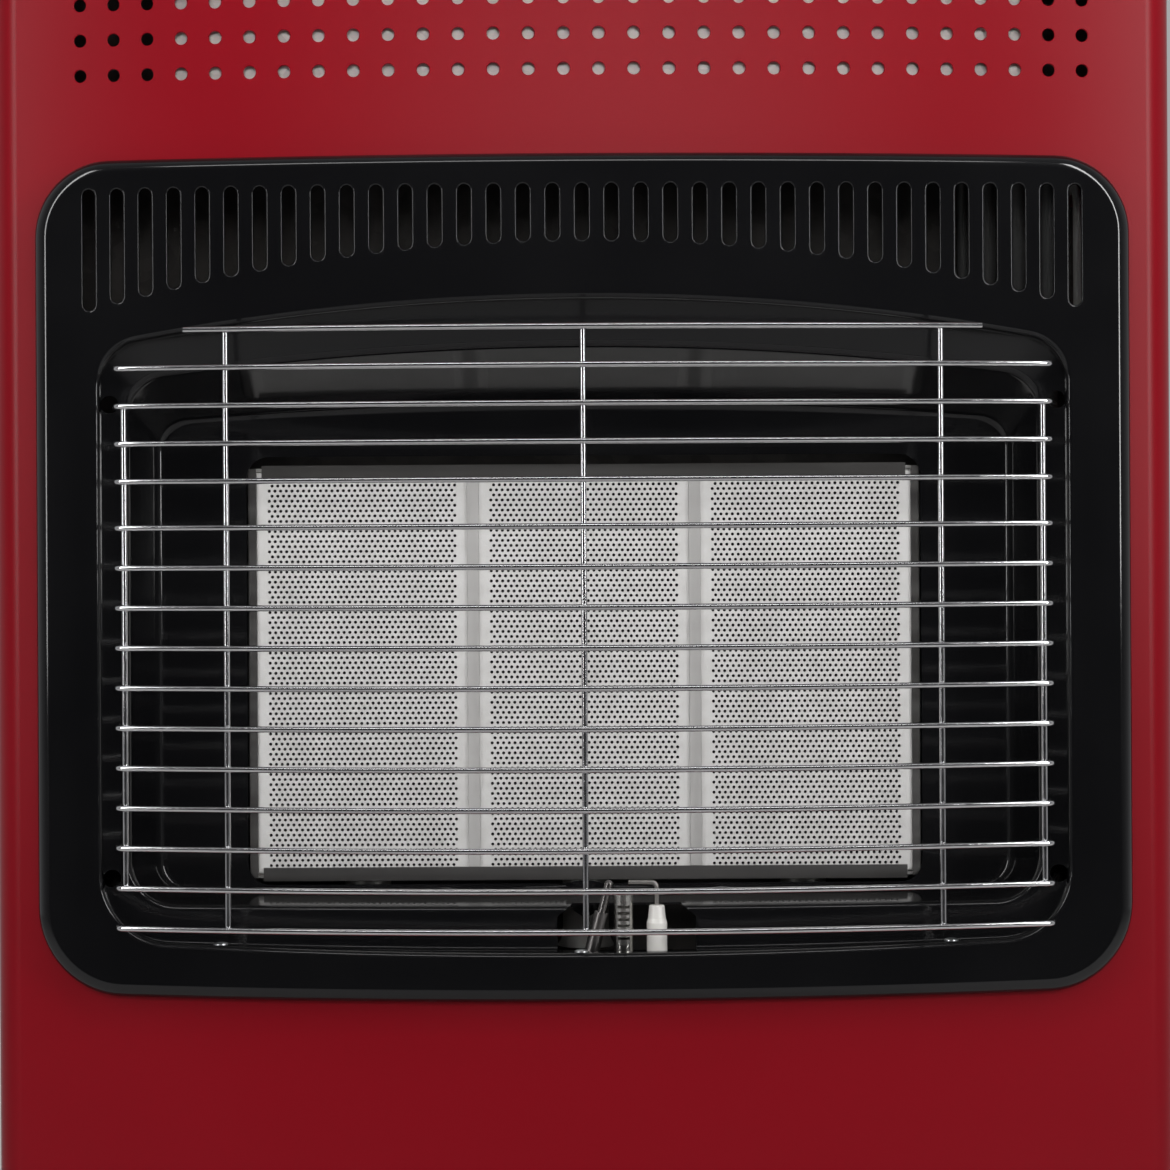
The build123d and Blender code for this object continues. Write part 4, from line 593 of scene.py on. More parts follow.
CERAMIC = CeramicFinish(
    "plaque_ceramic", "plaque_ceramic", (0.60, 0.59, 0.575), (0.66, 0.65, 0.64), 0.9, 0.03,
    scale=1400.0, depth=0.05, blotch=160.0, dust=0.0, rub=0.0, specular=0.2,
)
GASKET = Finish(
    "gasket_fibre", "gasket_fibre", (0.60, 0.59, 0.56), (0.70, 0.69, 0.66), 0.95, 0.02,
    scale=1200.0, depth=0.12, blotch=300.0, rub=0.0,
)
BRASS = Finish(
    "turned_brass", "brass", (0.56, 0.38, 0.14), (0.64, 0.45, 0.19), 0.26, 0.06, metallic=1.0,
    lines=(40.0, 40.0, 1200.0), depth=0.006,
)
PILOT_METAL = Finish(
    "pilot_metal", "brass", (0.50, 0.49, 0.46), (0.62, 0.61, 0.58), 0.24, 0.05, metallic=1.0,
    lines=(40.0, 40.0, 1200.0), depth=0.006, dust=0.0,
)
ALUMINIUM = Finish(
    "drawn_aluminium", "pipe_aluminium", grey(0.13), grey(0.19), 0.6, 0.06, metallic=0.7,
    scale=600.0, depth=0.008, blotch=80.0,
)
COPPER = Finish(
    "drawn_copper", "thermo_copper", (0.52, 0.26, 0.15), (0.62, 0.34, 0.21), 0.3, 0.06, metallic=1.0,
    scale=600.0, depth=0.008, blotch=120.0,
)
CASTING = Finish(
    "tap_casting", "tap_casting", (0.40, 0.40, 0.41), (0.48, 0.48, 0.49), 0.5, 0.06, metallic=0.9,
    scale=900.0, depth=0.06, blotch=90.0,
)
PORCELAIN = Finish(
    "white_porcelain", "white_porcelain", (0.74, 0.72, 0.68), (0.80, 0.78, 0.75), 0.22, 0.04, coat=0.4,
    scale=500.0, depth=0.01, blotch=200.0, dust=0.0,
)
PIN_STEEL = Finish(
    "pin_steel", "steel_pin", (0.36, 0.34, 0.32), (0.46, 0.44, 0.42), 0.34, 0.06, metallic=1.0,
    lines=(900.0, 900.0, 60.0), depth=0.004, dust=0.0,
)
SILICONE = Finish(
    "silicone_sleeve", "lead_silicone", (0.60, 0.59, 0.57), (0.68, 0.67, 0.65), 0.6, 0.05,
    scale=800.0, depth=0.02, blotch=100.0,
)
BLACK_PLASTIC = Finish(
    "grained_plastic", "black_plastic", grey(0.012), grey(0.016), 0.46, 0.04,
    scale=1100.0, depth=0.09, blotch=60.0, dust=0.03, rub=0.15,
)
BUTTON_PLASTIC = Finish(
    "red_plastic", "button_plastic", (0.36, 0.006, 0.008), (0.40, 0.008, 0.010), 0.2, 0.03,
    scale=400.0, depth=0.01, blotch=90.0,
)
ZINC = Finish(
    "zinc_plate", "zinc_steel", (0.56, 0.58, 0.60), (0.66, 0.67, 0.68), 0.3, 0.06, metallic=1.0,
    scale=900.0, depth=0.008, blotch=120.0,
)
RUBBER = Finish(
    "moulded_rubber", "wheel_rubber", grey(0.018), grey(0.028), 0.68, 0.06,
    scale=900.0, depth=0.05, blotch=70.0, dust=0.3, rub=0.3,
)
HUB_NYLON = Finish(
    "hub_nylon", "wheel_rubber", grey(0.16), grey(0.20), 0.5, 0.05,
    scale=700.0, depth=0.03, blotch=70.0, dust=0.2,
)
DIAL_PRINT = Finish(
    "dial_print", "black_plastic", grey(0.72), grey(0.80), 0.5, 0.04,
    scale=1500.0, depth=0.01, blotch=200.0, dust=0.02, rub=0.0,
)
FINISHES = {
    finish.slot: finish
    for finish in (
        RED_COAT, DARK_COAT, BLACK_ENAMEL, GALVANISED_PAINTED_LIGHT, ALUMINISED, CLAMP_STEEL, CHROME, CERAMIC, GASKET,
        BRASS, ALUMINIUM, COPPER, CASTING, PORCELAIN, PIN_STEEL, SILICONE, BLACK_PLASTIC, BUTTON_PLASTIC,
        ZINC, RUBBER,
    )
}


# ---------------------------------------------------------------- outlines and shells
@dataclass(frozen=True)
class Outline:
    """Front view of a pressed shape with upright sides and arched top and bottom edges."""

    half: float
    low: float
    high: float
    low_sag: float
    high_sag: float
    low_radius: float
    high_radius: float
    arc_steps: int = 72
    corner_steps: int = 14
    side_steps: int = 40

    def points(self, grow: float = 0.0) -> list[Flat]:
        """Points round the outline, from the middle of its lower edge to the right.

        Args:
            grow: how far the outline is let out.

        Returns:
            x and z of each point; every outline has the same number of them.
        """
        half = self.half + grow
        ends = []
        for edge, sag, radius, up in (
            (self.low - grow, self.low_sag, self.low_radius + grow, 1),
            (self.high + grow, self.high_sag, self.high_radius + grow, -1),
        ):
            bow = (half * half + sag * sag) / (2 * sag)
            centre_x = half - radius
            centre_z = edge + up * (bow - sqrt((bow - radius) ** 2 - centre_x**2))
            ends.append((edge, bow, radius, up, centre_x, centre_z, asin(centre_x / (bow - radius))))
        (edge, bow, radius, _, centre_x, centre_z, turn), high = ends
        half_steps = self.arc_steps // 2
        right = [(bow * sin(a), edge + bow - bow * cos(a)) for a in spread(0, turn, half_steps)]
        right += arc(centre_x, centre_z, radius, turn - pi / 2, 0, self.corner_steps)[1:]
        right += [(half, z) for z in spread(centre_z, high[5], self.side_steps)[1:]]
        edge, bow, radius, _, centre_x, centre_z, turn = high
        right += arc(centre_x, centre_z, radius, 0, pi / 2 - turn, self.corner_steps)[1:]
        right += [(bow * sin(a), edge - bow + bow * cos(a)) for a in spread(turn, 0, half_steps)[1:]]
        left = [(-x, z) for x, z in right[-2:0:-1]]
        return right + left


SURROUND = Outline(193.5, 330.0, 626.0, 1.5, 0.6, 31.0, 27.0)
OPENING = Outline(170.0, 347.5, 575.0, 4.0, 16.0, 24.0, 16.0)
MOUTH = Outline(161.0, 361.3, 560.0, 1.5, 12.0, 16.0, 14.0)
BACK = Outline(154.0, 364.2, 540.0, 0.6, 6.0, 10.0, 12.0)
CUTOUT = Outline(122.1, 366.15, 521.15, 0.01, 0.01, 8.0, 8.0)


class Shell:
    """Mesh under construction: points in millimetres and faces between rings of them."""

    def __init__(self) -> None:
        """Starts empty."""
        self.points: list[Point] = []
        self.faces: list[Sequence[int]] = []

    def ring(self, points: Iterable[Point]) -> Loop:
        """Adds points.

        Args:
            points: the points.

        Returns:
            Their indices.
        """
        start = len(self.points)
        self.points.extend(points)
        return list(range(start, len(self.points)))

    def bridge(self, first: Loop, second: Loop) -> None:
        """Joins two rings of equal length by quads."""
        for here in range(len(first)):
            there = (here + 1) % len(first)
            self.faces.append((first[here], first[there], second[there], second[here]))

    def sleeve(self, rings: Sequence[Loop]) -> None:
        """Joins each ring to the next."""
        for first, second in zip(rings, rings[1:]):
            self.bridge(first, second)

    def fill(
        self,
        outer: Loop,
        holes: Sequence[Loop],
        flat: Callable[[Point], Flat],
        lift: Callable[[Flat], Point],
        inner: Iterable[Flat] = (),
    ) -> None:
        """Fills a convex ring by triangles and leaves its holes open.

        Args:
            outer: the outer ring.
            holes: rings inside it.
            flat: gives a point's place in the flat layout.
            lift: gives a flat place's point.
            inner: further flat places inside the fill.
        """
        rings = [outer, *holes]
        order = [index for ring in rings for index in ring]
        places = [flat(self.points[index]) for index in order]
        edges = []
        start = 0
        for ring in rings:
            count = len(ring)
            edges += [(start + i, start + (i + 1) % count) for i in range(count)]
            start += count
        fences = []
        start = len(outer)
        for ring in holes:
            shape = places[start : start + len(ring)]
            us, vs = [p[0] for p in shape], [p[1] for p in shape]
            fences.append((min(us), max(us), min(vs), max(vs), shape))
            start += len(ring)
        kept = [place for place in inner if not in_any(place, fences)]
        order += self.ring(lift(place) for place in kept)
        places += kept
        result = delaunay_2d_cdt([Vector(p) for p in places], edges, [], 0, 1e-6)
        spots, faces, sources = result[0], result[2], result[3]
        for face in faces:
            middle = sum((spots[i] for i in face), Vector((0.0, 0.0))) / len(face)
            if not in_any(tuple(middle), fences):
                self.faces.append([order[sources[i][0]] for i in face])

    def piece(self, name: str, weld: float = 1e-4) -> Piece:
        """Makes the object, with its faces turned outward.

        Args:
            name: the piece's name.
            weld: points nearer than this are made one.

        Returns:
            The new object.
        """
        mesh = bpy.data.meshes.new(name)
        mesh.from_pydata([in_metres(p) for p in self.points], [], self.faces)
        made = placed(name, mesh)
        clean(mesh, weld)
        return made


def evaluated(made: Piece) -> bpy.types.Mesh:
    """A new mesh of an object with its modifiers run."""
    bpy.context.view_layer.update()
    return bpy.data.meshes.new_from_object(made.evaluated_get(bpy.context.evaluated_depsgraph_get()))


def in_any(place: Flat, fences: Sequence[tuple]) -> bool:
    """Tells whether a flat place lies in one of the fenced shapes.

    Args:
        place: the flat place.
        fences: for each shape its box and its points.

    Returns:
        True if it does.
    """
    u, v = place
    for low_u, high_u, low_v, high_v, shape in fences:
        if low_u <= u <= high_u and low_v <= v <= high_v:
            inside = False
            for (u1, v1), (u2, v2) in zip(shape, shape[1:] + shape[:1]):
                if (v1 > v) != (v2 > v) and u < (u2 - u1) * (v - v1) / (v2 - v1) + u1:
                    inside = not inside
            if inside:
                return True
    return False


def clean(mesh: bpy.types.Mesh, weld: float = 1e-4, angle: float = 35.0) -> None:
    """Welds a mesh, turns its faces outward and shades it smooth up to an angle.

    Args:
        mesh: the mesh.
        weld: weld distance in millimetres.
        angle: edges sharper than this stay sharp, in degrees.
    """
    work = bmesh.new()
    work.from_mesh(mesh)
    bmesh.ops.remove_doubles(work, verts=work.verts, dist=weld * MM)
    bmesh.ops.delete(work, geom=[v for v in work.verts if not v.link_faces], context="VERTS")
    bmesh.ops.recalc_face_normals(work, faces=work.faces)
    for face in work.faces:
        face.smooth = True
    work.to_mesh(mesh)
    work.free()
    mesh.set_sharp_from_angle(angle=radians(angle))
    mesh.update()


def round_normals(made: Piece, true_normal: Callable[[Vector], Vector | None]) -> None:
    """Gives the bowed faces of a piece the normals of the true bow.

    Args:
        made: the piece.
        true_normal: gives the outward normal at a point in millimetres, or None off the surface.
    """
    mesh = made.data
    wanted = [Vector((0.0, 0.0, 0.0))] * len(mesh.loops)
    for face in mesh.polygons:
        for loop in face.loop_indices:
            normal = true_normal(mesh.vertices[mesh.loops[loop].vertex_index].co / MM)
            if normal is None:
                continue
            facing = normal.dot(face.normal)
            if abs(facing) > SAME_FACE:
                wanted[loop] = normal if facing > 0 else -normal
    mesh.normals_split_custom_set(wanted)


def dress(made: Piece, finish: Finish, body: str, *nodes: str) -> None:
    """Gives a finished piece its material, body and the nodes that it stands for.

    Args:
        made: the piece.
        finish: its finish.
        body: the CAD body that it rides on.
        nodes: CAD nodes that it replaces.
    """
    if not made.data.materials:
        made.data.materials.append(finish.material())
    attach(made, body)
    if nodes:
        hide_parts(*nodes)
    log.info("%s: %d faces, on %s", made.name, len(made.data.polygons), body)


KINDS = {
    float: "Float", int: "Int", tuple: "Vector", Piece: "Object", bpy.types.Material: "Material"
}


class Repeater:
    """One geometry node tree with named inputs, run on a piece and made a plain mesh."""

    def __init__(self, name: str) -> None:
        """Opens the tree with its geometry in and out."""
        self.tree = bpy.data.node_groups.new(name, "GeometryNodeTree")
        self.graph = Graph(self.tree)
        self.values: dict[str, object] = {}
        for way in ("INPUT", "OUTPUT"):
            self.tree.interface.new_socket("Geometry", in_out=way, socket_type="NodeSocketGeometry")
        self.entry = self.graph.add("NodeGroupInput")
        self.exit = self.graph.add("NodeGroupOutput")

    def sizes(self, values: dict[str, object]) -> list[Socket]:
        """Adds named inputs.

        Args:
            values: each input's value for this piece, by name.

        Returns:
            Their sockets inside the tree.
        """
        for name, value in values.items():
            kind = f"NodeSocket{KINDS[type(value)]}"
            socket = self.tree.interface.new_socket(name, in_out="INPUT", socket_type=kind)
            self.values[socket.identifier] = value
        return [self.entry.outputs[name] for name in values]

    def copies(self, points, shape, **more) -> Socket:
        """Puts a shape on points, as real geometry.

        Args:
            points: socket of the points.
            shape: socket of the shape.
            more: further inputs of the node, such as Rotation.

        Returns:
            Socket of the copies.
        """
        put = self.graph.add("GeometryNodeInstanceOnPoints", {"Points": points, "Instance": shape, **more})
        return self.graph.add("GeometryNodeRealizeInstances", {0: put.outputs[0]}).outputs[0]

    def shape_of(self, source: Socket) -> Socket:
        """Geometry of an object given to the tree."""
        return self.graph.add("GeometryNodeObjectInfo", {"Object": source}).outputs["Geometry"]

    def with_entry(self, *parts: Socket) -> Socket:
        """Joins the piece's own geometry with more parts."""
        joined = self.graph.add("GeometryNodeJoinGeometry")
        for part in (self.entry.outputs[0], *parts):
            self.graph.feed(joined.inputs[0], part)
        return joined.outputs[0]

    def welded(self, geometry: Socket) -> Socket:
        """Makes points that lie together one."""
        weld = {"Geometry": geometry, "Distance": WELD_DISTANCE * MM}
        return self.graph.add("GeometryNodeMergeByDistance", weld).outputs[0]

    def row_and_column(self, per_row) -> tuple[Socket, Socket]:
        """Row and column of the point at hand, with per_row points in each row."""
        index = self.graph.add("GeometryNodeInputIndex").outputs[0]
        row = self.graph.math("FLOOR", self.graph.math("DIVIDE", self.graph.plus(index, 0.5), per_row))
        return row, self.graph.minus(index, self.graph.times(row, per_row))

    def rotation(self, turn) -> Socket:
        """Rotation by three angles about X, Y and Z."""
        return self.graph.add("FunctionNodeEulerToRotation", {0: turn}).outputs[0]

    def points(self, count, place: Socket) -> Socket:
        """Loose points, each at its own place."""
        return self.graph.add("GeometryNodePoints", {"Count": count, "Position": place}).outputs[0]

    def run(
        self,
        made: Piece,
        geometry: Socket,
        finish: Finish,
        weld: float,
        angle: float = 35.0,
    ) -> Piece:
        """Ends the tree, runs it on a piece and keeps the result as a plain mesh.

        Args:
            made: the piece, of any type.
            geometry: the geometry that the tree has made.
            finish: the finish whose material the result gets.
            weld: weld distance of the result in millimetres.
            angle: edges sharper than this stay sharp, in degrees.

        Returns:
            The finished mesh object, with the same name.
        """
        real = self.graph.add("GeometryNodeRealizeInstances", {"Geometry": geometry})
        (coat,) = self.sizes({"Material": finish.material()})
        painted = self.graph.add("GeometryNodeSetMaterial", {"Geometry": real.outputs[0], "Material": coat})
        self.graph.feed(self.exit.inputs[0], painted.outputs[0])
        modifier = made.modifiers.new("repeat", "NODES")
        modifier.node_group = self.tree
        for identifier, value in self.values.items():
            modifier[identifier] = value
        mesh = evaluated(made)
        name = made.name
        bpy.data.objects.remove(made)
        mesh.name = name
        clean(mesh, weld, angle)
        return placed(name, mesh)


def lathe(
    name: str,
    profile: Sequence[Flat],
    centre: Point,
    axis: Point = (0.0, 0.0, 1.0),
    steps: int = 32,
    ring: bool = False,
) -> Piece:
    """Turned piece from a half profile.

    Args:
        name: the piece's name.
        profile: radius and height of each profile point, from one end on the axis to the other.
        centre: where height 0 is.
        axis: direction of the turning axis.
        steps: points round.
        ring: the profile closes on itself, round a bore.

    Returns:
        The new object.
    """
    shell = Shell()
    turn = Vector((0, 0, 1)).rotation_difference(Vector(axis)).to_matrix()
    rings = []
    for radius, height in profile:
        spots = [Vector((radius * cos(a), radius * sin(a), height)) for a in round_angles(steps)]
        rings.append(shell.ring(tuple(turn @ spot + Vector(centre)) for spot in spots))
    shell.sleeve(rings + rings[:1] if ring else rings)
    return shell.piece(name)


def cut(made: Piece, tools: Sequence[Piece], angle: float = 30.0) -> None:
    """Cuts tools out of a piece and removes them.

    Args:
        made: the piece; modifiers that it has are applied first.
        tools: closed cutters.
        angle: edges sharper than this stay sharp, in degrees.
    """
    for tool in tools:
        step = made.modifiers.new(tool.name, "BOOLEAN")
        step.operation = "DIFFERENCE"
        step.solver = "EXACT"
        step.object = tool
    mesh = evaluated(made)
    made.modifiers.clear()
    made.data = mesh
    for tool in tools:
        bpy.data.objects.remove(tool)
    clean(mesh, 1e-3, angle)


def prism(name: str, outline: Sequence[Flat], plane: str, low: float, high: float) -> Piece:
    """Straight block with a flat outline.

    Args:
        name: the block's name.
        outline: its outline.
        plane: "XZ" or "XY", the plane of the outline.
        low: one end.
        high: the other end.

    Returns:
        The block.
    """
    shell = Shell()
    rings = [
        shell.ring([(u, level, v) if plane == "XZ" else (u, v, level) for u, v in outline])
        for level in (low, high)
    ]
    shell.bridge(rings[0], rings[1])
    shell.faces += rings
    return shell.piece(name)


# ---------------------------------------------------------------- front panel
@dataclass
class FrontPanel:
    """Bowed front sheet with turned-back sides, a window for the surround and rows of vent holes."""

    half: float = 210.0
    corner: float = 12.0
    rear_y: float = -133.65
    low: float = 58.0
    high: float = 700.0
    sheet: float = 0.8
    window_inset: float = 6.0
    hole_radius: float = 2.25
    hole_edge: float = 0.25
    hole_points: int = 16
    flare_from: float = 0.4
    columns: int = 30
    rows: int = 4
    column_pitch: float = 12.3
    row_pitch: float = 12.5
    first_row: float = 656.0
    turn: float = field(init=False)
    centre_y: float = field(init=False)
    bow_end: float = field(init=False)
    corner_end: float = field(init=False)

    def __post_init__(self) -> None:
        """Works out where the bow meets the rounded corner."""
        reach = BOW_RADIUS - self.corner
        centre_x = self.half - self.corner
        self.turn = asin(centre_x / reach)
        self.centre_y = BOW_AXIS - sqrt(reach**2 - centre_x**2)
        self.bow_end = BOW_RADIUS * self.turn
        self.corner_end = self.bow_end + self.corner * (pi / 2 - self.turn)

    def section(self, along: float) -> tuple[float, float, float, float]:
        """Place and outward normal on the sheet's outside, seen from above.

        Args:
            along: distance along the sheet from its middle.

        Returns:
            x, y and the normal's x and y.
        """
        side = 1 if along >= 0 else -1
        along = abs(along)
        if along <= self.bow_end:
            a = along / BOW_RADIUS
            x, y = BOW_RADIUS * sin(a), BOW_AXIS - BOW_RADIUS * cos(a)
        elif along <= self.corner_end:
            a = self.turn + (along - self.bow_end) / self.corner
            x = self.half - self.corner + self.corner * sin(a)
            y = self.centre_y - self.corner * cos(a)
        else:
            a = pi / 2
            x, y = self.half, self.centre_y + along - self.corner_end
        return side * x, y, side * sin(a), -cos(a)

    def build(self) -> Piece:
        """Builds the sheet with collars in its vent holes.

        Returns:
            The panel.
        """
        bow_end, corner_end = self.bow_end, self.corner_end
        end = corner_end + self.rear_y - self.centre_y
        across = spread(-end, -corner_end, 3)[:-1] + spread(-corner_end, -bow_end, 14)[:-1]
        across += spread(-bow_end, bow_end, 56) + [-a for a in across[::-1]]
        up = spread(self.low, self.high, 72)
        layout = {0.0: {}, self.sheet: {}}
        shell = Shell()

        def lifted(depth: float) -> Callable[[Flat], Point]:
            """Gives the lift for one face of the sheet."""

            def lift(place: Flat) -> Point:
                """Point on the sheet over a flat place."""
                x, y, nx, ny = self.section(place[0])
                point = (x - depth * nx, y - depth * ny, place[1])
                layout[depth][point] = place
                return point

            return lift

        edge = [(a, self.low) for a in across] + [(end, z) for z in up[1:]]
        edge += [(a, self.high) for a in across[-2::-1]] + [(-end, z) for z in up[-2:0:-1]]
        shape = SURROUND.points(-self.window_inset)
        window = [(BOW_RADIUS * asin(x / BOW_RADIUS), z) for x, z in shape]
        wide = self.hole_radius + self.hole_edge
        middle = (self.columns - 1) / 2
        across_to = [(column - middle) * self.column_pitch for column in range(self.columns)]
        up_to = [self.first_row + row * self.row_pitch for row in range(self.rows)]
        holes = [round_loop(x, z, wide, self.hole_points) for x in across_to for z in up_to]
        grid = [(a, z) for a in across[1:-1] for z in up[1:-1]]
        outer, windows = [], []
        for depth in (0.0, self.sheet):
            lift = lifted(depth)
            rings = [shell.ring([lift(place) for place in loop]) for loop in (edge, window, *holes)]
            shell.fill(rings[0], rings[1:], lambda p, d=depth: layout[d][p], lift, grid)
            outer.append(rings[0])
            windows.append(rings[1])
        shell.bridge(outer[0], outer[1])
        shell.bridge(windows[0], windows[1])
        panel = shell.piece("front_panel_sheet")
        return self.add_collars(panel)

    def add_collars(self, panel: Piece) -> Piece:
        """Lines every vent hole with its turned edge.

        Args:
            panel: the sheet with open holes.

        Returns:
            The panel as a plain mesh.
        """
        repeat = Repeater("vent_hole_collars")
        graph = repeat.graph
        radius, flare, sheet, columns, count, pitch, rise, first, bow, axis = repeat.sizes({
            "Hole radius": self.hole_radius * MM,
            "Edge flare": self.hole_edge * MM,
            "Sheet": self.sheet * MM,
            "Columns": float(self.columns),
            "Holes": self.columns * self.rows,
            "Column pitch": self.column_pitch * MM,
            "Row pitch": self.row_pitch * MM,
            "First row": self.first_row * MM,
            "Bow radius": BOW_RADIUS * MM,
            "Bow axis": BOW_AXIS * MM,
        })
        tube = graph.add(
            "GeometryNodeMeshCylinder",
            {"Vertices": self.hole_points, "Side Segments": 3, "Radius": radius, "Depth": sheet},
            fill_type="NONE",
        )
        spot = graph.parts(graph.add("GeometryNodeInputPosition").outputs[0])
        from_middle = graph.math("ABSOLUTE", spot[2])
        at_end = graph.math("GREATER_THAN", from_middle, graph.times(sheet, self.flare_from))
        grown = graph.plus(1.0, graph.times(at_end, graph.math("DIVIDE", flare, radius)))
        x, y, z = graph.times(spot[0], grown), graph.times(spot[2], -1.0), graph.times(spot[1], grown)
        wide = graph.vector(x, y, z)
        collar = graph.add("GeometryNodeSetPosition", {"Geometry": tube.outputs["Mesh"], "Position": wide})
        row, column = repeat.row_and_column(columns)
        half = graph.times(graph.minus(columns, 1.0), 0.5)
        turn = graph.math("DIVIDE", graph.times(graph.minus(column, half), pitch), bow)
        middle = graph.minus(bow, graph.times(sheet, 0.5))
        place = graph.vector(
            graph.times(graph.math("SINE", turn), middle),
            graph.minus(axis, graph.times(graph.math("COSINE", turn), middle)),
            graph.plus(first, graph.times(row, rise)),
        )
        points = repeat.points(count, place)
        facing = repeat.rotation(graph.vector(z=turn))
        collars = repeat.copies(points, collar.outputs[0], Rotation=facing)
        return repeat.run(panel, repeat.welded(repeat.with_entry(collars)), RED_COAT, 1e-3)

    def true_normal(self, point: Vector) -> Vector | None:
        """Normal of the bow and its corners at a point.

        Args:
            point: a point in millimetres.

        Returns:
            The outward normal, or None on the flat sides.
        """
        from_axis = Vector((point.x, point.y - BOW_AXIS, 0.0))
        if abs(atan2(point.x, BOW_AXIS - point.y)) <= self.turn + 1e-4:
            return from_axis.normalized()
        from_corner = Vector((abs(point.x) - self.half + self.corner, point.y - self.centre_y, 0.0))
        if point.y > self.centre_y or from_corner.length < 1.0:
            return None
        from_corner.x = copysign(from_corner.x, point.x)
        return from_corner.normalized()

    def dress(self) -> None:
        """Builds and finishes the panel."""
        panel = self.build()
        round_normals(panel, self.true_normal)
        dress(panel, RED_COAT, "cabinet", "front_panel")


# ---------------------------------------------------------------- surround
@dataclass
class Surround:
    """Bowed enamelled frame with a rolled rim, a fan of slots and a lipped opening."""

    sheet: float = 0.8
    rim: float = 5.0
    lip: float = 2.2
    lip_end: float = 5.8
    seat_radius: float = 1000.3
    slots: int = 35
    slot_pitch: float = 10.25
    slot_width: float = 4.4
    slot_top: float = 615.0
    slot_edge: float = 0.75
    arc_low: float = 595.3
    arc_radius: float = 676.0
    grid_across: tuple[float, float, int] = (-185.0, 185.0, 37)
    grid_up: tuple[float, float, int] = (335.0, 620.0, 30)
    row_across: tuple[float, float, int] = (-186.0, 186.0, 62)
    row_heights: Flat = (586.0, 618.0)
    slot_zone: tuple[float, float, float] = (535.0, 617.0, 181.0)
    face_margin: float = 2.0
    face_play: float = 0.02

    @staticmethod
    def level(points: Iterable[Flat], depth: float) -> list[Point]:
        """Puts outline points at a depth under the face."""
        return [(x, bow_y(x, FACE_RADIUS) + depth, z) for x, z in points]

    def slot_loop(self, index: int, grow: float, steps: int = 8) -> list[Flat]:
        """Rounded slot outline.

        Args:
            index: which slot, from the middle.
            grow: how far it is let out.
            steps: steps round each end.

        Returns:
            x and z of each point.
        """
        along = index * self.slot_pitch
        low = self.arc_low - (self.arc_radius - sqrt(self.arc_radius**2 - along**2))
        middle = FACE_RADIUS * sin(along / FACE_RADIUS)
        squeeze = cos(along / FACE_RADIUS)
        radius = self.slot_width / 2
        reach = radius + grow
        top, foot = self.slot_top - radius, low + radius
        loop = []
        for end, other, start, side in ((top, foot, 0.0, -1), (foot, top, pi, 1)):
            turns = spread(start, start + pi, steps)
            loop += [(middle + squeeze * reach * cos(a), end + reach * sin(a)) for a in turns]
            loop += [(middle + side * squeeze * reach, z) for z in spread(end, other, 3)[1:-1]]
        return loop

    def build(self) -> Piece:
        """Builds the surround as a closed shell.

        Returns:
            The surround.
        """
        shell = Shell()

        def seat(points: Iterable[Flat]) -> list[Point]:
            """Points where the wall meets the panel."""
            return [(x, bow_y(x, self.seat_radius), z) for x, z in points]

        faces = []
        for depth in (0.0, self.sheet):
            rim, lip = self.rim - depth, self.lip - depth
            outer = [shell.ring(seat(SURROUND.points(-depth)))]
            for a in spread(0, pi / 2, 10):
                outline = SURROUND.points(-self.rim + rim * cos(a))
                outer.append(shell.ring(self.level(outline, self.rim - rim * sin(a))))
            inner = [shell.ring(self.level(OPENING.points(depth), self.lip_end))]
            for a in spread(0, pi / 2, 7):
                outline = OPENING.points(self.lip - lip * cos(a))
                inner.append(shell.ring(self.level(outline, self.lip - lip * sin(a))))
            shell.sleeve(outer)
            shell.sleeve(inner)
            faces.append((depth, outer, inner))
        for front, back in zip(*[sides for _, *sides in faces]):
            shell.bridge(front[0], back[0])
        last = self.slots // 2
        slot_rings = {0.0: [], self.sheet: []}
        for index in range(-last, last + 1):
            rings = []
            for a in spread(0, pi / 2, 4):
                grow = self.slot_edge * (1 - sin(a))
                depth = self.slot_edge * (1 - cos(a))
                rings.append(shell.ring(self.level(self.slot_loop(index, grow), depth)))
            rings.append(shell.ring(self.level(self.slot_loop(index, 0.0), self.sheet)))
            shell.sleeve(rings)
            slot_rings[0.0].append(rings[0])
            slot_rings[self.sheet].append(rings[-1])
        grid = [(x, z) for x in spread(*self.grid_across) for z in spread(*self.grid_up)]
        rows = [(x, z) for x in spread(*self.row_across) for z in self.row_heights]
        for depth, outer, inner in faces:
            shell.fill(
                outer[-1],
                [inner[-1], *slot_rings[depth]],
                lambda p: (p[0], p[2]),
                lambda place, d=depth: (place[0], bow_y(place[0], FACE_RADIUS) + d, place[1]),
                [p for p in grid + rows if self.on_face(p)],
            )
        return shell.piece("surround_pressing")

    def on_face(self, place: Flat) -> bool:
        """Tells whether a layout place lies well inside the flat face."""
        edge = SURROUND.points(-self.rim - self.face_margin)
        low, high, half = self.slot_zone
        among_slots = low < place[1] < high and abs(place[0]) < half
        box = (-SURROUND.half, SURROUND.half, SURROUND.low, SURROUND.high)
        return in_any(place, [(*box, edge)]) and not among_slots

    def true_normal(self, point: Vector) -> Vector | None:
        """Normal of the bowed face at a point on it.

        Args:
            point: a point in millimetres.

        Returns:
            The outward normal, or None off the face.
        """
        outside = point.y - bow_y(point.x, FACE_RADIUS)
        if min(abs(outside), abs(outside - self.sheet)) > self.face_play:
            return None
        return Vector((point.x, point.y - BOW_AXIS, 0.0)).normalized()

    def dress(self) -> None:
        """Builds and finishes the surround."""
        made = self.build()
        round_normals(made, self.true_normal)
        dress(made, BLACK_ENAMEL, "cabinet", "surround")


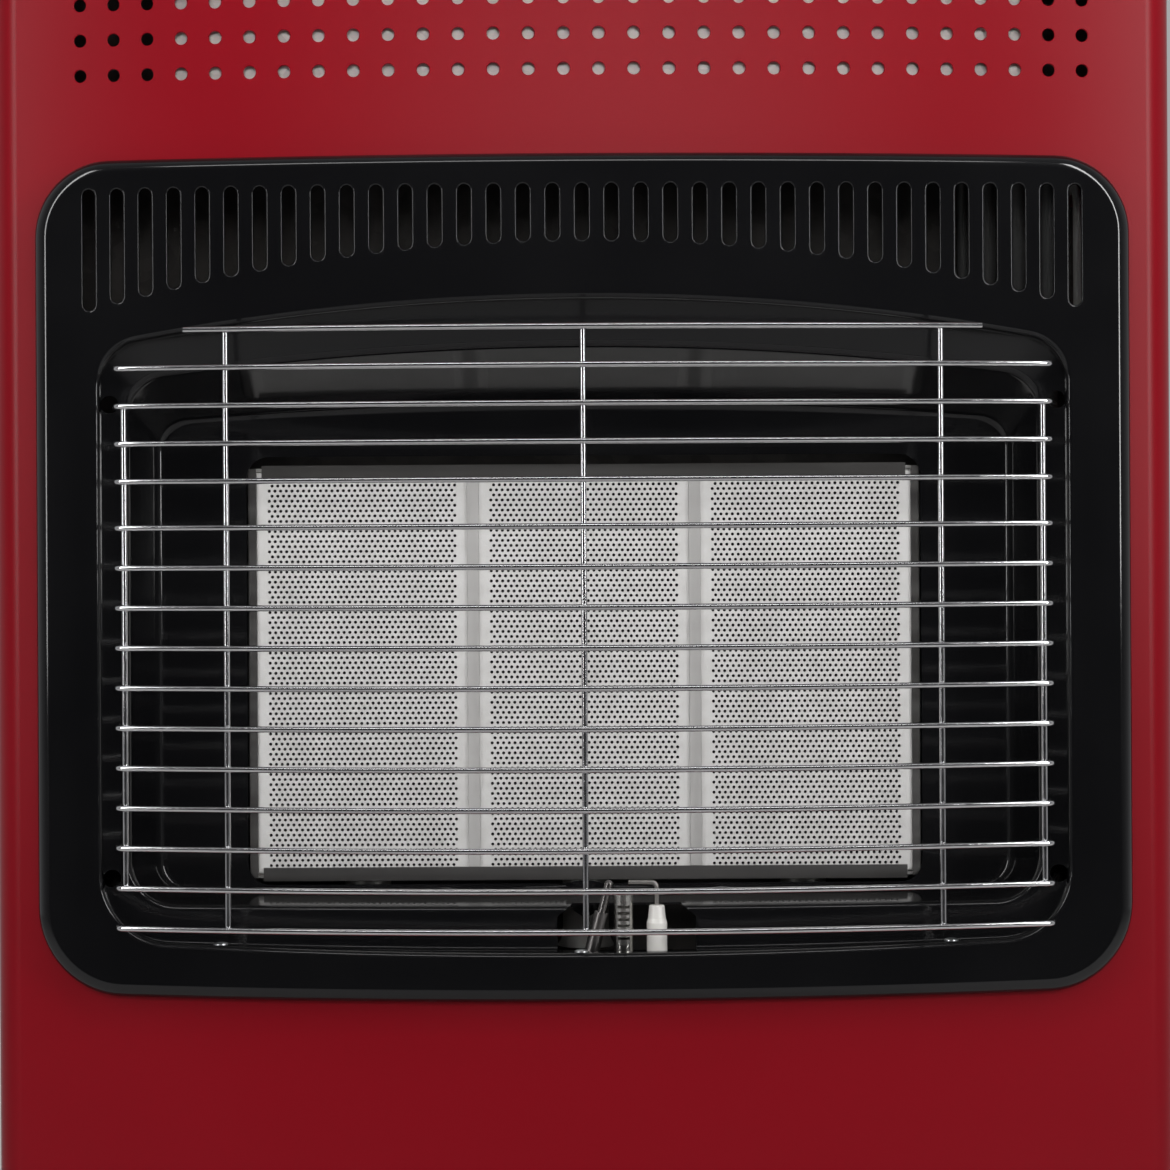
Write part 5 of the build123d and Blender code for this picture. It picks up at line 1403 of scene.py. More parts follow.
# ---------------------------------------------------------------- recess liner
@dataclass
class RecessLiner:
    """Enamelled liner: channel behind the lip, sloped strip, tapering recess and back wall."""

    sheet: float = 0.8
    play: float = 1.1
    front_depth: float = 2.5
    strip_y: float = -173.95
    mouth_y: float = -170.95
    back_y: float = -140.95
    bends: tuple[float, float, float] = (1.2, 2.2, 3.0)
    bend_steps: int = 5
    leg_hole_radius: float = 3.1
    leg_x: float = 167.3
    leg_heights: tuple[float, float] = (372.24, 539.64)
    leg_hole_points: int = 24
    leg_hole_cut: Flat = (-2.5, 6.0)
    window: tuple[float, float, float, float] = (-10.1, 38.9, -3.1, 31.9)
    window_low: float = 346.0
    window_mid: float = 357.65
    window_high: float = 363.3
    window_reach: float = 5.5
    floor_half: float = 16.0
    pilot: Flat = (14.4, -181.95)
    floor_half_depth: float = 5.4
    floor_cut: Flat = (340.0, 352.0)

    def stations(self) -> list[list[Vector]]:
        """Cross-sections of the liner from its front edge to the cut-out, with rounded bends.

        Returns:
            For each outline point, the section's points.
        """
        sections = []
        channel = OPENING.points(self.play)
        further = (MOUTH.points(), BACK.points(), CUTOUT.points())
        for (ax, az), (cx, cz), (dx, dz), (ex, ez) in zip(channel, *further):
            corners = [
                Vector((ax, bow_y(ax, FACE_RADIUS) + self.front_depth, az)),
                Vector((ax, self.strip_y, az)),
                Vector((cx, self.mouth_y, cz)),
                Vector((dx, self.back_y, dz)),
                Vector((ex, self.back_y, ez)),
            ]
            line = [corners[0]]
            for before, corner, after, reach in zip(corners, corners[1:], corners[2:], self.bends):
                start = corner + (before - corner).normalized() * reach
                end = corner + (after - corner).normalized() * reach
                for t in spread(0, 1, self.bend_steps):
                    line.append(start * (1 - t) ** 2 + corner * 2 * t * (1 - t) + end * t**2)
            line.append(corners[-1])
            sections.append(line)
        return sections

    def cutters(self) -> list[Piece]:
        """Cutters for the leg holes, the pilot's window and its way through the floor."""
        made = []
        cut_from, cut_to = self.strip_y + self.leg_hole_cut[0], self.mouth_y + self.leg_hole_cut[1]
        for side in (-1, 1):
            for height in self.leg_heights:
                hole = round_loop(side * self.leg_x, height, self.leg_hole_radius, self.leg_hole_points)
                made.append(prism("leg_hole", hole, "XZ", cut_from, cut_to))
        left, right, foot_left, foot_right = self.window
        low, middle, high, reach = self.window_low, self.window_mid, self.window_high, self.window_reach
        window = [(left, low), (right, low), (right, middle)]
        window += [(foot_right, high), (foot_left, high), (left, middle)]
        made.append(prism("pilot_window", window, "XZ", self.mouth_y - reach, self.mouth_y + reach))
        x, y = self.pilot
        wide, deep = self.floor_half, self.floor_half_depth
        floor = [(x - wide, y - deep), (x + wide, y - deep), (x + wide, y + deep), (x - wide, y + deep)]
        made.append(prism("pilot_floor", floor, "XY", *self.floor_cut))
        return made

    def build(self) -> Piece:
        """Builds the liner and cuts its holes.

        Returns:
            The liner.
        """
        shell = Shell()
        sections = self.stations()
        rings = [shell.ring([tuple(line[k]) for line in sections]) for k in range(len(sections[0]))]
        shell.sleeve(rings)
        liner = shell.piece("recess_liner_pressing")
        inward = sum((face.normal.y * face.area for face in liner.data.polygons), 0.0)
        if inward > 0:
            liner.data.flip_normals()
        thicken = liner.modifiers.new("sheet", "SOLIDIFY")
        thicken.thickness = self.sheet * MM
        thicken.offset = -1.0
        thicken.use_even_offset = True
        cut(liner, self.cutters())
        return liner

    def dress(self) -> None:
        """Builds and finishes the liner."""
        dress(self.build(), BLACK_ENAMEL, "cabinet", "recess_liner")


# ---------------------------------------------------------------- wire guard
@dataclass
class WireGuard:
    """Bowed guard of chromed wire: horizontals with turned-back ends and uprights behind them."""

    wire: float = 1.05
    wire_sides: int = 14
    front: float = -213.95
    bow: float = 675.0
    half: float = 160.5
    bend: float = 2.5
    tail: float = 3.0
    leg_splay: float = 11.0
    leg_end: float = -167.95
    leg_rows: tuple[int, int] = (1, 13)
    lower: tuple[float, float, int] = (357.1, 13.9, 11)
    upper: tuple[float, float, int] = (512.2, 13.1, 5)
    top_half: float = 138.0
    uprights: tuple[float, ...] = (-123.6, 0.0, 123.6)
    end_upright: float = 159.8
    behind: float = 2.15
    weld_size: Point = (1.15, 0.75, 0.85)

    def heights(self) -> list[float]:
        """Heights of all the horizontals, from the lowest."""
        return [first + pitch * n for first, pitch, count in (self.lower, self.upper) for n in range(count)]

    def runs(self) -> list[list[Point]]:
        """Centre lines of all the wires."""
        heights = self.heights()
        legs = [heights[row] for row in self.leg_rows]
        turn = asin(self.half / self.bow)
        lines = []
        for height in heights:
            top = height == heights[-1]
            reach = asin((self.top_half if top else self.half) / self.bow)
            right = [
                (self.bow * sin(a), self.front + self.bow - self.bow * cos(a), height)
                for a in spread(0, reach, 26)
            ]
            if not top:
                splay = radians(self.leg_splay) if height in legs else 0.0
                end_x, end_y, _ = right[-1]
                x, y = end_x - self.bend * sin(turn), end_y + self.bend * cos(turn)
                for a in spread(turn, pi / 2 - splay, 8)[1:]:
                    right.append((x + self.bend * sin(a), y - self.bend * cos(a), height))
                x, y, _ = right[-1]
                length = (self.leg_end - y) / cos(splay) if height in legs else self.tail
                right.append((x + length * sin(splay), y + length * cos(splay), height))
            lines.append([(-x, y, z) for x, y, z in right[:0:-1]] + right)
        for x, low, high in self.upright_runs():
            y = self.upright_y(x)
            lines.append([(x, y, z) for z in spread(low - self.wire, high + self.wire, 4)])
        return lines

    def upright_y(self, x: float) -> float:
        """Y of an upright's centre line."""
        turn = asin(x / self.bow)
        return self.front + self.bow - (self.bow - self.behind) * cos(turn)

    def upright_runs(self) -> list[tuple[float, float, float]]:
        """x and ends of each upright."""
        heights = self.heights()
        made = [(x, heights[0], heights[-1]) for x in self.uprights]
        low, high = self.leg_rows
        return made + [(side * self.end_upright, heights[low], heights[high]) for side in (-1, 1)]

    def build_wires(self) -> Piece:
        """Sweeps round wire along every run.

        Returns:
            The wires as one mesh.
        """
        curve = bpy.data.curves.new("guard_wires", "CURVE")
        curve.dimensions = "3D"
        for line in self.runs():
            spline = curve.splines.new("POLY")
            spline.points.add(len(line) - 1)
            for point, place in zip(spline.points, line):
                point.co = (*in_metres(place), 1.0)
        wires = placed("guard_wires", curve)
        repeat = Repeater("wire_sweep")
        radius, sides = repeat.sizes({"Wire radius": self.wire * MM, "Sides": self.wire_sides})
        circle = repeat.graph.add("GeometryNodeCurvePrimitiveCircle", {"Resolution": sides, "Radius": radius})
        swept = repeat.graph.add(
            "GeometryNodeCurveToMesh",
            {"Curve": repeat.entry.outputs[0], "Profile Curve": circle.outputs[0], "Fill Caps": True},
        )
        return repeat.run(wires, swept.outputs[0], CHROME, 1e-4, 50.0)

    def build_welds(self) -> Piece:
        """Puts a small weld nugget wherever a horizontal crosses an upright.

        Returns:
            The welds as one mesh.
        """
        spots = []
        for x, low, high in self.upright_runs():
            for height in self.heights():
                reach = self.top_half if height == self.heights()[-1] else self.half
                if low - 0.1 <= height <= high + 0.1 and abs(x) <= reach:
                    turn = asin(x / self.bow)
                    middle = self.bow - self.behind / 2
                    y = self.front + self.bow - middle * cos(turn)
                    spots.append((middle * sin(turn), y, height))
        welds = spot_mesh("guard_welds", spots)
        repeat = Repeater("weld_nuggets")
        (size,) = repeat.sizes({"Nugget size": in_metres(self.weld_size)})
        ball = repeat.graph.add("GeometryNodeMeshIcoSphere", {"Radius": 1.0, "Subdivisions": 2})
        nuggets = repeat.copies(repeat.entry.outputs[0], ball.outputs[0], Scale=size)
        return repeat.run(welds, nuggets, CHROME, 1e-5, 60.0)

    def dress(self) -> None:
        """Builds and finishes the guard."""
        dress(self.build_wires(), CHROME, "cabinet", "guard")
        dress(self.build_welds(), CHROME, "cabinet")


# ---------------------------------------------------------------- burner
@dataclass
class Plaques:
    """Three ceramic plaques, each with a staggered field of blind-looking burner holes."""

    width: float = 77.0
    height: float = 145.4
    thickness: float = 12.5
    pitch: float = 2.07
    row_pitch: float = 1.8365
    columns: int = 33
    rows: int = 77
    hole_radius: float = 0.62
    hole_shape: tuple[Flat, ...] = ((1.0, 0.0), (0.93, 0.9), (0.86, 3.0))
    hole_points: int = 8
    edge: float = 0.5
    stagger: float = 0.25

    def tile(self) -> Piece:
        """One brick-shaped cell of the field with its hole.

        Returns:
            The cell, round the origin.
        """
        shell = Shell()
        a, b = self.pitch / 2, self.row_pitch / 2
        outer = shell.ring([(-a, 0, -b), (0, 0, -b), (a, 0, -b), (a, 0, b), (0, 0, b), (-a, 0, b)])
        rings = []
        for share, depth in self.hole_shape:
            angles = round_angles(self.hole_points, 0.5)
            reach = share * self.hole_radius
            rings.append(shell.ring([(reach * cos(t), depth, reach * sin(t)) for t in angles]))
        shell.fill(outer, [rings[0]], lambda p: (p[0], p[2]), lambda p: (p[0], 0.0, p[1]))
        shell.sleeve(rings)
        shell.faces.append(rings[-1])
        return shell.piece("plaque_tile")

    def filler(self) -> Piece:
        """Half cell without a hole, for the ends of alternate rows."""
        shell = Shell()
        a, b = self.pitch / 4, self.row_pitch / 2
        shell.faces.append(shell.ring([(-a, 0, -b), (a, 0, -b), (a, 0, b), (-a, 0, b)]))
        return shell.piece("plaque_filler")

    def body(self, name: str, x: float) -> Piece:
        """Plaque without its field of holes.

        Args:
            name: the piece's name.
            x: the plaque's middle.

        Returns:
            The plaque's body, open where the field goes.
        """
        shell = Shell()
        left = -(self.columns / 2 + self.stagger) * self.pitch
        half = self.row_pitch * self.rows / 2
        us = [left + step * self.pitch / 2 for step in range(2 * self.columns + 2)]
        vs = [-half + step * self.row_pitch for step in range(self.rows + 1)]
        loop = [(u, -half) for u in us] + [(us[-1], v) for v in vs[1:]]
        loop += [(u, half) for u in us[-2::-1]] + [(us[0], v) for v in vs[-2:0:-1]]

        def put(places: Iterable[Flat], depth: float) -> Loop:
            """Adds places at a depth behind the plaque's face."""
            return shell.ring([(x + u, PLAQUE_Y + depth, PLAQUE_CENTRE + v) for u, v in places])

        inner = put(loop, 0.0)
        corners = [(-1, -1), (1, -1), (1, 1), (-1, 1)]
        wide, tall = self.width / 2, self.height / 2
        face = put([(s * (wide - self.edge), t * (tall - self.edge)) for s, t in corners], 0.0)
        side = put([(s * wide, t * tall) for s, t in corners], self.edge)
        back = put([(s * wide, t * tall) for s, t in corners], self.thickness)
        marks = [0, len(us) - 1, len(us) + len(vs) - 2, 2 * len(us) + len(vs) - 3, len(loop)]
        for corner in range(4):
            span = [inner[i % len(loop)] for i in range(marks[corner], marks[corner + 1] + 1)]
            shell.faces.append([face[corner], face[(corner + 1) % 4], *span[::-1]])
        shell.bridge(face, side)
        shell.bridge(side, back)
        shell.faces.append(back)
        return shell.piece(name)

    def build(self, column: int, name: str) -> Piece:
        """Builds one perforated plaque.

        Args:
            column: -1, 0 or 1.
            name: the column's name.

        Returns:
            The plaque.
        """
        x = column * COLUMN_PITCH
        body = self.body(f"perforated_plaque_{name}", x)
        repeat = Repeater("burner_hole_field")
        graph = repeat.graph
        tile, filler, columns, rows, pitch, rise, centre = repeat.sizes({
            "Cell": self.tile(),
            "Row end": self.filler(),
            "Holes in a row": float(self.columns),
            "Rows": self.rows,
            "Pitch": self.pitch * MM,
            "Row pitch": self.row_pitch * MM,
            "Centre": in_metres((x, PLAQUE_Y, PLAQUE_CENTRE)),
        })

        def field_of(count, per_row, shift) -> Socket:
            """Points in rows: count of them, per_row in each, shifted as the row's sign says."""
            row, column_at = repeat.row_and_column(per_row)
            sign = graph.minus(graph.times(graph.math("MODULO", row, 2.0), 2.0), 1.0)
            across = graph.minus(column_at, graph.times(graph.minus(per_row, 1.0), 0.5))
            across = graph.times(graph.plus(across, graph.times(sign, shift)), pitch)
            middle = graph.times(graph.minus(rows, 1.0), 0.5)
            local = graph.vector(across, z=graph.times(graph.minus(row, middle), rise))
            return repeat.points(count, graph.vectors("ADD", local, centre))

        holes = field_of(graph.times(rows, columns), columns, self.stagger)
        ends = field_of(rows, 1.0, graph.times(columns, -0.5))
        copies = [repeat.copies(at, repeat.shape_of(shape)) for at, shape in ((holes, tile), (ends, filler))]
        made = repeat.run(body, repeat.welded(repeat.with_entry(*copies)), CERAMIC, 1e-3)
        for shape in ("plaque_tile", "plaque_filler"):
            bpy.data.objects.remove(bpy.data.objects[shape])
        return made

    def dress(self) -> None:
        """Builds and finishes the three plaques."""
        for column, name in ((-1, "left"), (0, "centre"), (1, "right")):
            dress(self.build(column, name), CERAMIC, "cabinet", f"ceramic_plaque_{name}")


# ---------------------------------------------------------------- carried-over nodes
@dataclass(frozen=True)
class TippedFinish(Finish):
    """Drawn copper that ends in a heat-stained steel tip."""

    tip_from: float = 336.0
    tip_to: float = 339.0
    behind: float = -170.0
    before: float = -175.0
    tip: Point = (0.20, 0.19, 0.185)

    def shade(self, graph: Graph, colour: Socket) -> Socket:
        """Turns the colour to steel above the foot of the tip.

        Args:
            graph: the material's graph.
            colour: the colour so far.

        Returns:
            The colour with its tip.
        """
        place = graph.parts(graph.place())
        high = graph.ramp(place[2], self.tip_from * MM, self.tip_to * MM)
        front = graph.ramp(place[1], self.behind * MM, self.before * MM)
        return graph.mix(graph.times(high, front), colour, (*self.tip, 1.0))


THERMO = TippedFinish(
    "thermocouple_copper", "thermo_copper", (0.52, 0.26, 0.15), (0.62, 0.34, 0.21), 0.28, 0.06, metallic=1.0,
    scale=600.0, depth=0.008, blotch=120.0, dust=0.0,
)
SPECIAL = {
    "divider_strips": DIVIDER_STEEL,
    "pilot_burner": PILOT_METAL,
    "thermocouple": THERMO,
    # partition and control bracket carry painted shade instead of their galvanised coat
    "partition": PAINTED_SHADE_SHEET,
    "control_bracket": PAINTED_SHADE_SHEET,
    "burner_carrier": BURNER_STEEL,
}


class CarriedNodes:
    """Every CAD node whose own shape shows."""

    def dress(self) -> None:
        """Puts the finish of its slot on each node that is still shown."""
        for name, node in sorted(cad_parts.items()):
            if node.hide_render:
                continue
            slot = node.material_slots[0]
            finish = SPECIAL.get(name, FINISHES[slot.name.split(".")[0]])
            slot.link = "OBJECT"
            slot.material = finish.material()
            log.info("%s: carried over in %s", name, finish.name)


# ---------------------------------------------------------------- screws
@dataclass
class Screws:
    """Cross-recessed rail screws at the rear and plain rivet-like screws on the lower lip."""

    rail_x: float = 196.0
    rail_heights: tuple[float, float] = (679.25, 637.75)
    rail_y: float = 191.0
    head_radius: float = 4.0
    head: float = 2.2
    shank_radius: float = 1.9
    shank: float = 8.0
    recess: Flat = (0.95, 4.6)
    recess_depth: float = 1.3
    lip_x: tuple[float, float, float] = (-128.0, -1.6, 128.0)
    lip_low: float = 347.6
    lip_back: float = 3.7
    lip_head: float = 1.0
    lip_radius: float = 2.5
    rail_turn: float = 0.4
    rail_dome_foot: float = 0.35
    lip_dome_foot: float = 0.3

    @staticmethod
    def dome(radius: float, height: float, foot: float, steps: int) -> list[Flat]:
        """Half profile of a domed head.

        Args:
            radius: the head's radius.
            height: its height.
            foot: share of the height that is its straight side.
            steps: steps over the dome.

        Returns:
            Radius and height of each point, from the side to the top.
        """
        return [(radius * cos(a), height * (foot + (1 - foot) * sin(a))) for a in spread(0, pi / 2, steps)]

    def rail_head(self) -> Piece:
        """Pan head with a cross recess, facing +Z from the origin."""
        radius, head = self.head_radius, self.head
        dome = self.dome(radius, head, self.rail_dome_foot, 8)
        slim, foot = self.shank_radius, -self.shank
        profile = [(0.0, foot), (slim, foot), (slim, 0.0), (radius, 0.0)]
        made = lathe("rail_screw_head", profile + dome, (0.0, 0.0, 0.0), steps=28)
        wide, long = self.recess[0] / 2, self.recess[1] / 2
        tools = []
        for u, v in ((wide, long), (long, wide)):
            bar = [(-u, -v), (u, -v), (u, v), (-u, v)]
            tools.append(prism("recess_bar", bar, "XY", head - self.recess_depth, head + 1.0))
        cut(made, tools)
        return made

    def lip_head_shape(self) -> Piece:
        """Low domed head, facing +Z from the origin."""
        dome = self.dome(self.lip_radius, self.lip_head, self.lip_dome_foot, 6)
        return lathe("lip_screw_head", [(0.0, 0.0), (self.lip_radius, 0.0), *dome], (0.0, 0.0, 0.0), steps=24)

    def set_of(
        self, name: str, shape: Piece, places: Sequence[Point], turn: Point
    ) -> Piece:
        """Puts a copy of a head at each place.

        Args:
            name: the piece's name.
            shape: the head.
            places: where the heads go.
            turn: rotation of every head.

        Returns:
            The heads as one mesh.
        """
        made = spot_mesh(name, places)
        repeat = Repeater(f"{name}_layout")
        head, facing = repeat.sizes({"Head": shape, "Facing": turn})
        spots = repeat.entry.outputs[0]
        heads = repeat.copies(spots, repeat.shape_of(head), Rotation=repeat.rotation(facing))
        result = repeat.run(made, heads, ZINC, 1e-4, 30.0)
        bpy.data.objects.remove(shape)
        return result

    def dress(self) -> None:
        """Builds and finishes all the screws."""
        places = [(side * self.rail_x, self.rail_y, z) for side in (-1, 1) for z in self.rail_heights]
        rail = self.set_of("rail_screws", self.rail_head(), places, (-pi / 2, self.rail_turn, 0.0))
        dress(rail, ZINC, "cabinet", "screws")
        places = []
        for x in self.lip_x:
            z = self.lip_low + OPENING.low_sag * (x / OPENING.half) ** 2
            places.append((x, bow_y(x, FACE_RADIUS) + self.lip_back, z))
        lip = self.set_of("lip_screws", self.lip_head_shape(), places, (0.0, 0.0, 0.0))
        dress(lip, ZINC, "cabinet")


# ---------------------------------------------------------------- controls
@dataclass
class Controls:
    """Ribs and pointer of the tap knob, and the numbers of its dial."""

    centre: Flat = (108.0, -10.0)
    skirt_low: float = 706.6
    skirt_height: float = 7.2
    skirt_radius: float = 20.75
    rib_radius: float = 0.55
    ribs: int = 40
    knob_top: float = 726.3
    pointer: tuple[float, float, float, float] = (0.7, 6.5, 16.5, 0.25)
    dial_radius: float = 27.0
    dial_floor: float = 703.0
    number_size: float = 6.2
    print_height: float = 0.12
    turn: float = 240.0
    marks: int = 3

    def build_ribs(self) -> Piece:
        """Sets slim grip ribs round the knob's skirt.

        Returns:
            The ribs as one mesh.
        """
        made = spot_mesh("knob_ribs")
        repeat = Repeater("knob_rib_ring")
        graph = repeat.graph
        count, ring, radius, height, centre = repeat.sizes({
            "Ribs": self.ribs,
            "Skirt radius": self.skirt_radius * MM,
            "Rib radius": self.rib_radius * MM,
            "Rib height": self.skirt_height * MM,
            "Knob centre": in_metres((*self.centre, self.skirt_low + self.skirt_height / 2)),
        })
        circle = graph.add("GeometryNodeMeshCircle", {"Vertices": count, "Radius": ring})
        cone = {"Vertices": 8, "Side Segments": 2, "Radius Bottom": radius, "Depth": height}
        rib = graph.add("GeometryNodeMeshCone", {**cone, "Radius Top": graph.times(radius, 0.5)})
        each = {"Points": circle.outputs[0], "Instance": rib.outputs["Mesh"]}
        ribs = graph.add("GeometryNodeInstanceOnPoints", each).outputs[0]
        down = graph.vector(z=graph.times(height, -0.5))
        sunk = graph.add("GeometryNodeTranslateInstances", {0: ribs, "Translation": down})
        moved = graph.add("GeometryNodeTransform", {"Geometry": sunk.outputs[0], "Translation": centre})
        return repeat.run(made, moved.outputs[0], BLACK_PLASTIC, 1e-4, 50.0)

    def build_pointer(self) -> Piece:
        """Raised line on the grip that points at the dial."""
        wide, near, far, height = self.pointer
        x, y = self.centre
        outline = []
        for reach, start in ((far, pi), (near, 0.0)):
            outline += arc(x, y - reach, wide, start, start + pi, 8)
        return prism("knob_pointer", outline, "XY", self.knob_top - 0.1, self.knob_top + height)

    def build_dial(self) -> Piece:
        """Prints the numbers 0 to 3 round the knob.

        Returns:
            The print as one mesh.
        """
        work = bmesh.new()
        for mark in range(self.marks + 1):
            angle = radians(self.turn * mark / self.marks - 90)
            letter = bpy.data.curves.new(f"number_{mark}", "FONT")
            letter.body = str(mark)
            letter.size = self.number_size * MM
            letter.align_x = "CENTER"
            letter.align_y = "CENTER"
            letter.extrude = self.print_height / 2 * MM
            shape = placed(f"number_{mark}", letter)
            flat = evaluated(shape)
            x = self.centre[0] + self.dial_radius * cos(angle)
            y = self.centre[1] + self.dial_radius * sin(angle)
            flat.transform(Matrix.Translation(Vector((x, y, self.dial_floor)) * MM))
            work.from_mesh(flat)
            bpy.data.objects.remove(shape)
            bpy.data.meshes.remove(flat)
        mesh = bpy.data.meshes.new("dial_numbers")
        work.to_mesh(mesh)
        work.free()
        made = placed("dial_numbers", mesh)
        clean(mesh, 1e-3, 30.0)
        return made

    def dress(self) -> None:
        """Builds and finishes the knob's details and its dial."""
        dress(self.build_ribs(), BLACK_PLASTIC, "knob")
        dress(self.build_pointer(), DIAL_PRINT, "knob")
        dress(self.build_dial(), DIAL_PRINT, "cabinet")


# ---------------------------------------------------------------- castors
@dataclass
class CastorWheels:
    """Wheels with a rubber tyre on a ribbed nylon centre."""

    places: tuple[tuple[str, float, float], ...] = (
        ("front_left", -165.0, -128.0),
        ("front_right", 165.0, -128.0),
        ("rear_left", -165.0, 150.0),
        ("rear_right", 165.0, 150.0),
    )
    trail: float = 16.0
    radius: float = 20.0
    half_width: float = 8.5
    tyre: float = 4.6
    edge: float = 2.6
    hub_radius: float = 7.0
    bore: float = 3.1
    web: float = 2.5
    rim_inset: float = 0.7
    rim: float = 1.6
    ribs: int = 6
    rib: Point = (1.3, 9.0, 4.4)
    rib_slims: float = 0.4
    tread: Flat = (0.25, 1.5)

    def tyre_profile(self) -> list[Flat]:
        """Closed section of the tyre: radius and place along the axle."""
        inner = self.radius - self.tyre
        half = self.half_width
        corner = self.radius - self.edge
        section = [(inner, -half + self.rim_inset), (inner + 1.0, -half)]
        section += [
            (corner + self.edge * sin(a), -half + self.edge - self.edge * cos(a))
            for a in spread(0, pi / 2, 7)
        ]
        groove, wide = self.tread
        section += [(self.radius - groove, -wide), (self.radius - groove, wide)]
        section += arc(corner, half - self.edge, self.edge, 0, pi / 2, 7)
        return section + [(inner + 1.0, half), (inner, half - self.rim_inset)]

    def centre_profile(self) -> list[Flat]:
        """Closed section of the hub, web and rim."""
        outer, half = self.radius - self.tyre - 0.05, self.half_width - self.rim_inset
        hub = self.half_width - 0.3
        side = [
            (self.bore, hub),
            (self.hub_radius - 0.6, hub),
            (self.hub_radius, hub - 0.6),
            (self.hub_radius + 0.5, self.web),
            (outer - self.rim - 0.5, self.web),
            (outer - self.rim, half - 0.4),
            (outer - self.rim + 0.4, half),
            (outer, half),
        ]
        return [(r, -h) for r, h in side] + side[::-1]

    def build_centre(self, corner: str, centre: Point) -> Piece:
        """Builds one wheel centre with radial ribs on both sides.

        Args:
            corner: the castor's name.
            centre: middle of the wheel.

        Returns:
            The wheel centre.
        """
        made = lathe(f"wheel_centre_{corner}", self.centre_profile(), centre, (1.0, 0.0, 0.0), 48, ring=True)
        repeat = Repeater("wheel_ribs")
        graph = repeat.graph
        count, size, reach, side, middle = repeat.sizes({
            "Ribs": self.ribs,
            "Rib size": in_metres(self.rib),
            "Rib circle": (self.hub_radius + self.radius - self.tyre - self.rim) / 2 * MM,
            "Side offset": (self.web + self.rib[2] / 2 - 0.2) * MM,
            "Wheel centre": in_metres(centre),
        })
        block = graph.add("GeometryNodeMeshCube", {"Size": size})
        spot = graph.parts(graph.add("GeometryNodeInputPosition").outputs[0])
        outside = graph.math("GREATER_THAN", spot[2], 0.0)
        slim = graph.minus(1.0, graph.times(outside, self.rib_slims))
        taper = graph.vector(graph.times(spot[0], slim), spot[1], spot[2])
        rib = graph.add("GeometryNodeSetPosition", {"Geometry": block.outputs["Mesh"], "Position": taper})
        index = graph.add("GeometryNodeInputIndex").outputs[0]
        angle = graph.times(graph.math("DIVIDE", index, count), 2 * pi)
        across = graph.times(graph.math("SINE", angle), reach)
        up = graph.times(graph.math("COSINE", angle), reach)
        sides = []
        for sign in (-1.0, 1.0):
            local = graph.vector(graph.times(side, sign), graph.times(across, -sign), up)
            points = repeat.points(count, graph.vectors("ADD", local, middle))
            lay = repeat.rotation((pi / 2, 0.0, sign * pi / 2))
            spin = repeat.rotation(graph.vector(graph.times(angle, sign)))
            both = graph.add("FunctionNodeRotateRotation", {"Rotation": lay, "Rotate By": spin})
            sides.append(repeat.copies(points, rib.outputs[0], Rotation=both.outputs[0]))
        return repeat.run(made, repeat.with_entry(*sides), HUB_NYLON, 1e-4)

    def dress(self) -> None:
        """Builds and finishes the four wheels."""
        for corner, x, y in self.places:
            centre = (x, y + self.trail, self.radius)
            tyre = lathe(f"tyre_{corner}", self.tyre_profile(), centre, (1.0, 0.0, 0.0), 64, ring=True)
            dress(tyre, RUBBER, f"wheel_{corner}", f"castor_wheel_{corner}")
            dress(self.build_centre(corner, centre), HUB_NYLON, f"wheel_{corner}")


# ---------------------------------------------------------------- stage
@dataclass(frozen=True)
class Lamp:
    """One soft lamp; its places and sizes are metres, its power watts and its spread degrees."""

    name: str
    place: Point
    target: Point
    size: Flat
    power: float
    spread: float = 180.0
    mirrored: bool = True

    def hang(self) -> None:
        """Makes the lamp and turns it to its target."""
        data = bpy.data.lights.new(self.name, "AREA")
        data.shape = "RECTANGLE"
        data.size, data.size_y = self.size
        data.energy = self.power
        data.spread = radians(self.spread)
        made = placed(self.name, data)
        made.location = self.place
        made.rotation_euler = (Vector(self.target) - Vector(self.place)).to_track_quat("-Z", "Y").to_euler()
        made.visible_camera = False
        made.visible_glossy = self.mirrored


MIDDLE = (0.0, -0.15, 0.45)
LAMPS = (
    Lamp("lamp_top", (0.0, -1.0, 1.7), MIDDLE, (1.3, 0.12), 3.2),
    Lamp("lamp_left", (-1.05, -1.1, 0.95), MIDDLE, (0.15, 1.2), 6.5),
    Lamp("lamp_right", (1.02, -1.12, 1.0), MIDDLE, (0.15, 1.2), 9.5),
    Lamp("lamp_rear", (0.2, 2.4, 1.9), (0.0, 0.1, 0.4), (1.8, 1.0), 34.0),
    Lamp("lamp_over", (0.1, -0.62, 1.15), (0.05, -0.17, 0.5), (0.7, 0.3), 1.1, mirrored=False),
    Lamp("lamp_fill", (0.1, -1.9, 0.85), (0.02, -0.17, 0.74), (0.9, 0.4), 1.45, 50.0, mirrored=False),
)


